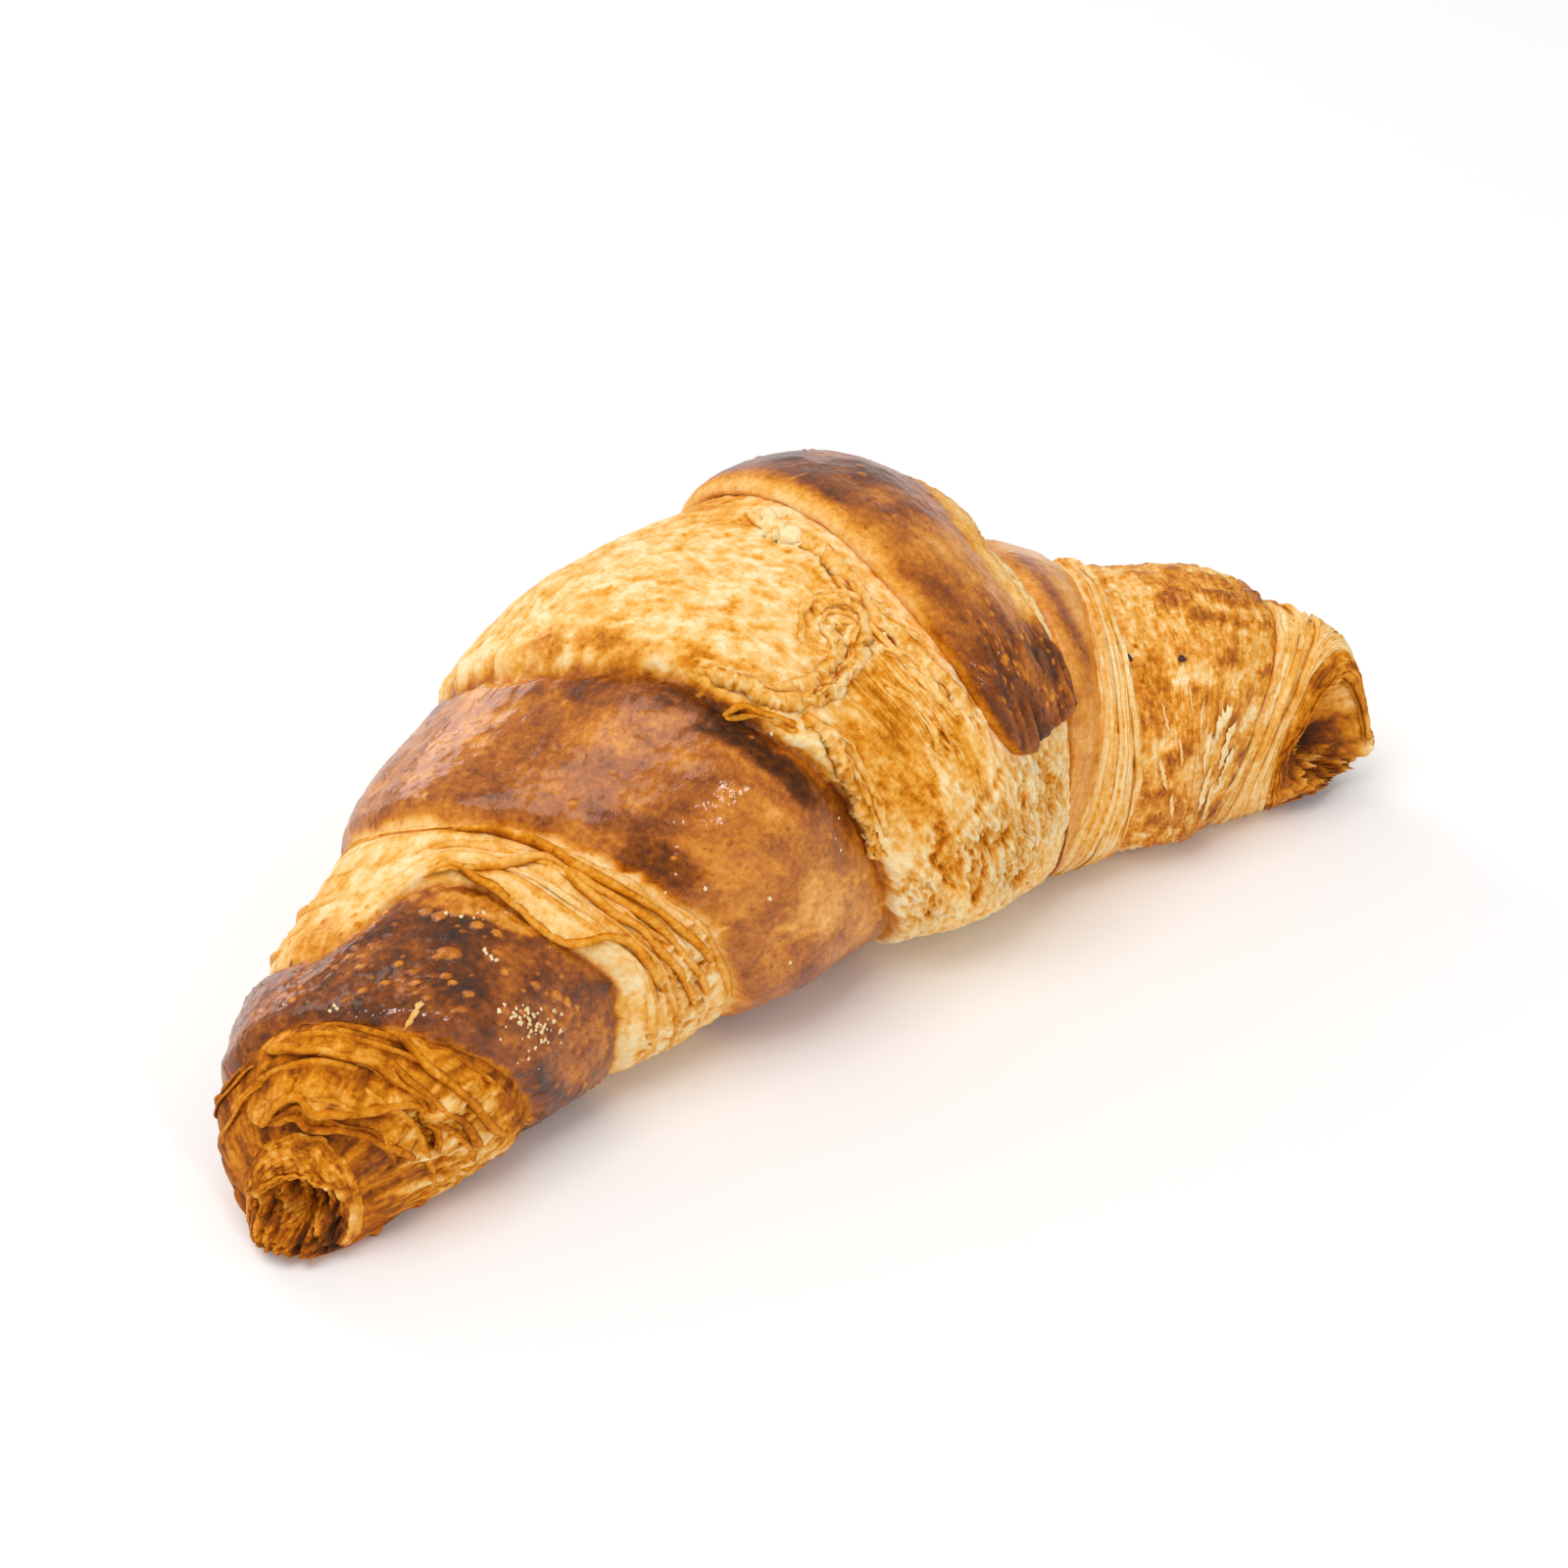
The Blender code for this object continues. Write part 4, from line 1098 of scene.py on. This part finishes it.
# %% Lips of the leaves
# Cross-sections: aside and up, in shares of the width and the height, and how much browner each point is painted:
# lighter on the crest as painted light, darker under the curl and low on the sides as painted shade
LIP = np.array(((1.0, -0.35), (0.65, 0.30), (0.30, 0.80), (-0.02, 1.0), (-0.26, 0.92), (-0.36, 0.66), (-0.24, 0.46),
                (0.05, 0.36), (0.45, -0.10)))  # a breaking wave
LIP_TOAST_AND_SHADE = np.array((0.0, -0.03, -0.06, -0.05, 0.0, 0.05, 0.10, 0.14, 0.12))
STRAND = np.array(((0.62, -0.35), (0.60, 0.20), (0.43, 0.65), (0.16, 0.94), (-0.14, 0.96), (-0.40, 0.66),
                   (-0.54, 0.22), (-0.52, -0.15), (-0.40, -0.45)))  # the edge rolled in on itself
STRAND_TOAST_AND_SHADE = np.array((0.12, 0.02, -0.06, -0.10, -0.10, -0.06, 0.02, 0.12, 0.18))


def lip(path, width, height, tone, seed, surface=None, crumple=0.0, rolled=False, even=0):
    """The points and fields of one lip along a path of (turn, around), or along the points and normals of surface."""
    profile, toast_and_shade = (STRAND, STRAND_TOAST_AND_SHADE) if rolled else (LIP, LIP_TOAST_AND_SHADE)
    if surface is None:
        path = np.array(path)
        at = np.stack([path[:, 0] / 3, path[:, 1] / 6, 0 * path[:, 0] + seed], -1)
        path[:, 0] += 0.25 * clouds(at / 3, seed, 2) + crumple * clouds(at, seed + 1, 3)
        path[:, 1] += 2.0 * crumple * clouds(at, seed + 2, 3)
        base, up = read(crust, path[:, 0], path[:, 1]), read(crust_normals, path[:, 0], path[:, 1])
        own_lay = read(lay, path[:, 0], path[:, 1])
    else:
        base, up = surface
        own_lay = base
    base = base.copy()
    for _ in range(even):  # a thick edge doesn't follow every pit below it
        base[1:-1] = (base[:-2] + 2 * base[1:-1] + base[2:]) / 4
        up[1:-1] = (up[:-2] + 2 * up[1:-1] + up[2:]) / 4
    up = up / np.linalg.norm(up, axis=1, keepdims=True)
    run = np.gradient(base, axis=0)
    aside = np.cross(up, run)
    aside /= np.maximum(np.linalg.norm(aside, axis=1, keepdims=True), 1e-9)
    t = np.linspace(0, 1, len(base))
    taper = np.minimum(ramp(0, 0.15, t), 1 - ramp(0.85, 1, t))
    thick = (0.9 + 0.35 * noise(base / 6.0, seed) + 0.5 * crumple * noise(base / 1.9, seed)) * taper
    curl = 0.9 + 0.35 * noise(base / 7.0, seed + 3) + 0.5 * crumple * noise(base / 2.3, seed + 4)
    sideways = profile[None, :, 0] * (width * (0.35 + 0.65 * taper) * curl)[:, None]
    upwards = profile[None, :, 1] * (height * thick)[:, None] - 0.45 * (1 - taper)[:, None]
    points = base[:, None] + aside[:, None] * sideways[..., None] + up[:, None] * upwards[..., None]
    shrunk = crumple * min(height, 1.2) * (wrinkles(points / 1.5, seed + 8, 3) - 0.5) * taper[:, None]
    points += (up[:, None] + 0.7 * aside[:, None]) * shrunk[..., None]
    points[..., 2] = np.maximum(points[..., 2], 0)
    spots = noise(base / 3.1, seed + 6)
    # crumples that are pushed out are painted lighter and those pushed in darker, as light and shade
    fields = {"bake_and_shade": tone + toast_and_shade[None] + 0.10 * spots[:, None] - 0.5 * shrunk, "lines": 0.1 if rolled else 0.4,
              "lay": own_lay[:, None] + aside[:, None] * sideways[..., None] * 0.7}
    return points, fields


# %% Bundles of leaves


def around_path(at_place, start, end, seed, wander, step=0.6):
    """A path round the roll that keeps to one place between the seams, and strays a little."""
    count = max(6, int(abs(end - start) * degree_mm(at_place) / step))
    angles = np.linspace(start, end, count)
    stray = wander * clouds(np.stack([angles / 30, 0 * angles + seed * 0.37, 0 * angles], -1), 7, 2)
    seams_here = seams_at(angles)
    at = [np.interp(at_place + stray[n], nominal, seams_here[:, n]) for n in range(count)]
    return np.stack([np.clip(at, turns[0], turns[-1]), angles], -1)


BUNDLES = (  # piece, places, count, degrees long, width, height, tone, straying
    ("left_frill_leaves", -92.3, -84.0, 22, (50, 150), (0.6, 1.1), (0.4, 0.8), (0.46, 0.62), 0.35),
    ("left_seam_leaves", -62.0, -52.0, 22, (40, 130), (0.6, 1.1), (0.3, 0.7), (0.24, 0.38), 0.4),
    ("right_seam_leaves", 45.3, 51.6, 34, (80, 220), (0.3, 0.5), (0.2, 0.4), (0.16, 0.30), 0.10),
    ("right_frill_leaves", 81.3, 90.6, 38, (50, 160), (0.35, 0.6), (0.25, 0.5), (0.16, 0.32), 0.16),
)
draw = np.random.default_rng(23)
lips = {}
for name, low, high, count, lengths, widths, heights, tones, wander in BUNDLES:
    lips[name] = []
    smoothing = 8 if name.startswith("left") else 2
    for number in range(count):
        start = draw.uniform(FIRST_ANGLE, FIRST_ANGLE + 360)
        path = around_path(draw.uniform(low, high), start, start + draw.uniform(*lengths), number, wander)
        facing = path if draw.random() < 0.8 else path[::-1]
        size = draw.uniform(*widths), draw.uniform(*heights), draw.uniform(*tones)
        lips[name].append(lip(facing, *size, 600 + number, even=smoothing))
    print(name, len(lips[name]))

# %% Lips along the named edges
OWNERS = (("left_frill_leaves", -80), ("left_seam_leaves", -50), ("burst_leaves", 45), ("right_seam_leaves", 60),
          ("right_frill_leaves", 92))  # each up to this turn
lips["burst_leaves"] = []
for number, (line, height, width, tone, _) in enumerate(LEAF_EDGES):
    path = smooth_line(line, 0.35)[0][::-1]
    owner = next(name for name, limit in OWNERS if path[:, 0].mean() < limit)
    if owner.startswith("left"):
        golden = tone + (0.12 if "frill" in owner else 0.03)
        lips[owner].append(lip(path, 1.15, 0.9, golden, 700 + number, crumple=0.05, rolled=True, even=12))
    elif owner.startswith("right"):
        lips[owner].append(lip(path, width, 0.75 * height, tone - 0.04, 700 + number, crumple=0.08, even=4))
    elif width < 1.4:  # crumpled skin: a few thin strands side by side; the wider sheets melt into the crumb
        strands = 3 if height > 0.8 else 2
        for strand in range(strands):
            aside = strand - (strands - 1) / 2
            lips[owner].append(lip(path + (0.5 * aside, 1.4 * aside), 0.85, 0.60 * height, tone + 0.05,
                                   700 + 10 * number + strand, crumple=0.8, rolled=True, even=3))
        if height > 0.6:
            lips[owner].append(lip(path, 1.8, 1.3 * height, tone + 0.02, 790 + number, crumple=1.0, even=2))

# The leaf that ends round each opening
for name, border, outward, low, high in (
    ("left_frill_leaves", left_border, left_out, -8, 188), ("right_frill_leaves", right_border, right_out, -50, 150),
):
    brim = border[(columns > low) & (columns < high)]
    for _ in range(6):
        brim[1:-1] = (brim[:-2] + brim[1:-1] + brim[2:]) / 3
    brim = brim[::2] if outward is left_out else brim[::-2]
    facing = np.tile(outward, (len(brim), 1))
    for number, (shift, width, height) in enumerate(((0.0, 0.8, 0.7), (-0.5, 0.7, 0.5))):
        shifted = brim + np.array(outward) * shift + (0, 0, -0.8 * number)
        lips[name].append(lip(None, width, height, 0.46, 900 + number, surface=(shifted, facing), crumple=0.2))
for name, strips in lips.items():
    piece_of_grids(name, strips)

# %% Crumbs and charred specks


def lump(at_turn, at_angle, size, seed, squash, tone=0.0, washed=0.0):
    """A rough little grain that sits on the crust."""
    base, up = (read(field, np.array([at_turn]), np.array([at_angle]))[0] for field in (crust, crust_normals))
    polar, turning = np.meshgrid(np.radians(np.linspace(4, 176, 7)), np.radians(np.arange(0, 360, 45)), indexing="ij")
    ball = np.stack([np.sin(polar) * np.cos(turning), np.sin(polar) * np.sin(turning), np.cos(polar)], -1)
    rough = 1 + 0.9 * noise(ball * 1.3 + seed * 1.7, 5)
    ball = ball * rough[..., None] * size / 2
    ball = ball - up * (ball @ up)[..., None] * (1 - squash)
    points = base + up * size * 0.2 + ball
    return points, {"bake_and_shade": tone + 0.1 * noise(points / 0.4, 6), "wash": washed, "lay": points}


CRUMBS = (  # turn, around, spread in millimetres, how many
    (-77.0, 26, 1.5, 34), (-76.5, 19, 1.2, 16), (-71.5, 49, 0.8, 7), (-72.5, 18, 1.0, 6), (-77.0, 11, 1.1, 5),
    (-80.5, 8, 0.9, 4), (-83.0, 85, 0.6, 3), (-82.0, 108, 0.5, 2), (-66.0, 60, 2.5, 6), (-48.0, 20, 5.0, 7),
    (3.5, 90, 1.6, 12), (2.6, 80, 1.4, 8), (-56.0, 62, 2.5, 8), (-30.0, 10, 4.0, 6),
)
draw = np.random.default_rng(31)
grains = []
for at_turn, at_angle, spread, count in CRUMBS:
    for _ in range(count):
        along, beside = draw.normal(size=2) * spread
        grain = draw.uniform(0.20, 0.60)
        grains.append(lump(at_turn + along, at_angle + beside / degree_mm(at_turn), grain, len(grains), 0.6))
piece_of_grids("crumbs", grains)
SPECKS = ((54.0, 55, 0.9, 3, 0.4, 1.0), (54.3, 54, 0.5, 5, 0.5, 0.9), (63.0, 51, 1.1, 8, 0.3, 1.0))
piece_of_grids("charred_specks", [lump(*speck, washed=1.0) for speck in SPECKS])

# %% Loose flakes


def flake(at_turn, at_angle, length, width, run, tone, seed):
    """A thin torn sheet that lies on the crust and lifts at its ends."""
    along, girdle = np.meshgrid(np.linspace(-0.5, 0.5, 25), np.radians(np.arange(0, 360, 30)), indexing="ij")
    torn = 1 + 0.9 * noise(np.stack([along * 7 + seed, np.sign(np.cos(girdle)), 0 * along], -1), 5)
    aside = np.cos(girdle) * width / 2 * torn * (1 - (2 * along) ** 4)
    lengthwise = along * length + 0.5 * noise(np.stack([along * 3 + seed, np.cos(girdle), 0 * along], -1), 8)
    c, s = math.cos(math.radians(run)), math.sin(math.radians(run))
    at = at_turn + lengthwise * s + aside * c
    angles = at_angle + (lengthwise * c - aside * s) / degree_mm(at_turn)
    base, up = read(crust, at, angles), read(crust_normals, at, angles)
    curl = 0.22 + 0.5 * (2 * along) ** 2 * (0.5 + noise(np.stack([along * 2 + seed, 0 * along, 0 * along], -1), 9))
    up = up / np.linalg.norm(up, axis=-1, keepdims=True)
    points = base + up * (np.clip(curl, 0.15, 0.9) + 0.12 * np.sin(girdle))[..., None]
    return points, {"bake_and_shade": tone + 0.1 * np.cos(girdle) * along, "lay": points, "lines": 0.3}


FLAKES = (  # turn, around, length in millimetres, width, its run (degrees from round the roll), tone
    (-82.0, 57, 3.2, 0.5, 75, 0.20), (74.0, 22, 4.6, 2.6, 62, 0.08), (77.0, 12, 4.6, 2.2, 15, 0.10),
    (70.0, 13, 4.2, 1.6, 8, 0.12), (79.0, 2, 3.8, 2.0, 20, 0.10), (66.0, 5, 5.0, 0.8, 6, 0.15),
    (72.0, -5, 5.5, 2.8, 12, 0.08), (61.0, 16, 4.4, 0.7, -10, 0.18), (57.0, 8, 4.6, 0.9, -14, 0.14),
    (76.0, -15, 5.0, 2.2, 10, 0.12), (67.0, 27, 3.6, 0.6, 4, 0.18), (64.0, 36, 3.4, 0.6, -6, 0.20),
    (58.0, 30, 4.0, 0.7, -12, 0.16), (59.0, -8, 4.2, 0.9, -8, 0.14),
)
piece_of_grids("loose_flakes", [flake(*values, number) for number, values in enumerate(FLAKES)])

# %% [markdown]
# ## Table and light
# A plain pale table, and the soft light of a bright studio: a wide light overhead, one low behind, which draws the
# shine along the back of the roll, and a small one at the front for the sparkle on the brown turns.

# %% Floor and lights
half = 3.0  # metres
floor_mesh = bpy.data.meshes.new("floor")
floor_mesh.from_pydata([(-half, -half, 0), (half, -half, 0), (half, half, 0), (-half, half, 0)], [], [(0, 1, 2, 3)])
floor = bpy.data.objects.new("floor", floor_mesh)
bpy.context.scene.collection.objects.link(floor)
table_top = bpy.data.materials.new("white_laminate")
table_top.use_nodes = True
laminate = table_top.node_tree.nodes["Principled BSDF"].inputs
laminate["Base Color"].default_value = (0.95, 0.95, 0.95, 1)
laminate["Roughness"].default_value = 0.9
floor_mesh.materials.append(table_top)
floor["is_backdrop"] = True

world = bpy.data.worlds.new("studio")
world.use_nodes = True
sky = world.node_tree.nodes["Background"].inputs
sky["Color"].default_value = (1.0, 1.0, 1.0, 1)
sky["Strength"].default_value = 0.62
bpy.context.scene.world = world


def soft_light(name, towards, size, watts, colour=(1, 1, 1)):
    """A square light that shines at the croissant from this direction."""
    lamp = bpy.data.lights.new(name, "AREA")
    lamp.size = size
    lamp.energy = watts
    lamp.color = colour
    holder = bpy.data.objects.new(name, lamp)
    direction = Vector(towards).normalized()
    holder.location = AIM + direction * LIGHT_DISTANCE
    holder.rotation_mode = "QUATERNION"
    holder.rotation_quaternion = direction.to_track_quat("Z", "Y")
    bpy.context.scene.collection.objects.link(holder)


LIGHT_DISTANCE = 1.2
soft_light("overhead", (-0.35, -0.10, 1.0), 0.8, 7.0)
soft_light("behind", (-0.11, 0.93, 0.36), 0.50, 3.2, (0.95, 0.97, 1.0))
soft_light("front", (-0.14, -0.88, 0.45), 0.10, 1.8)
scene = bpy.context.scene
scene.view_settings.view_transform = "Standard"
scene.view_settings.look = "None"
scene.view_settings.exposure = 0.0

# %% Sizes and the end
low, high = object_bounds()
print("visual", [round(v * 1000, 1) for v in (*low, *high)])
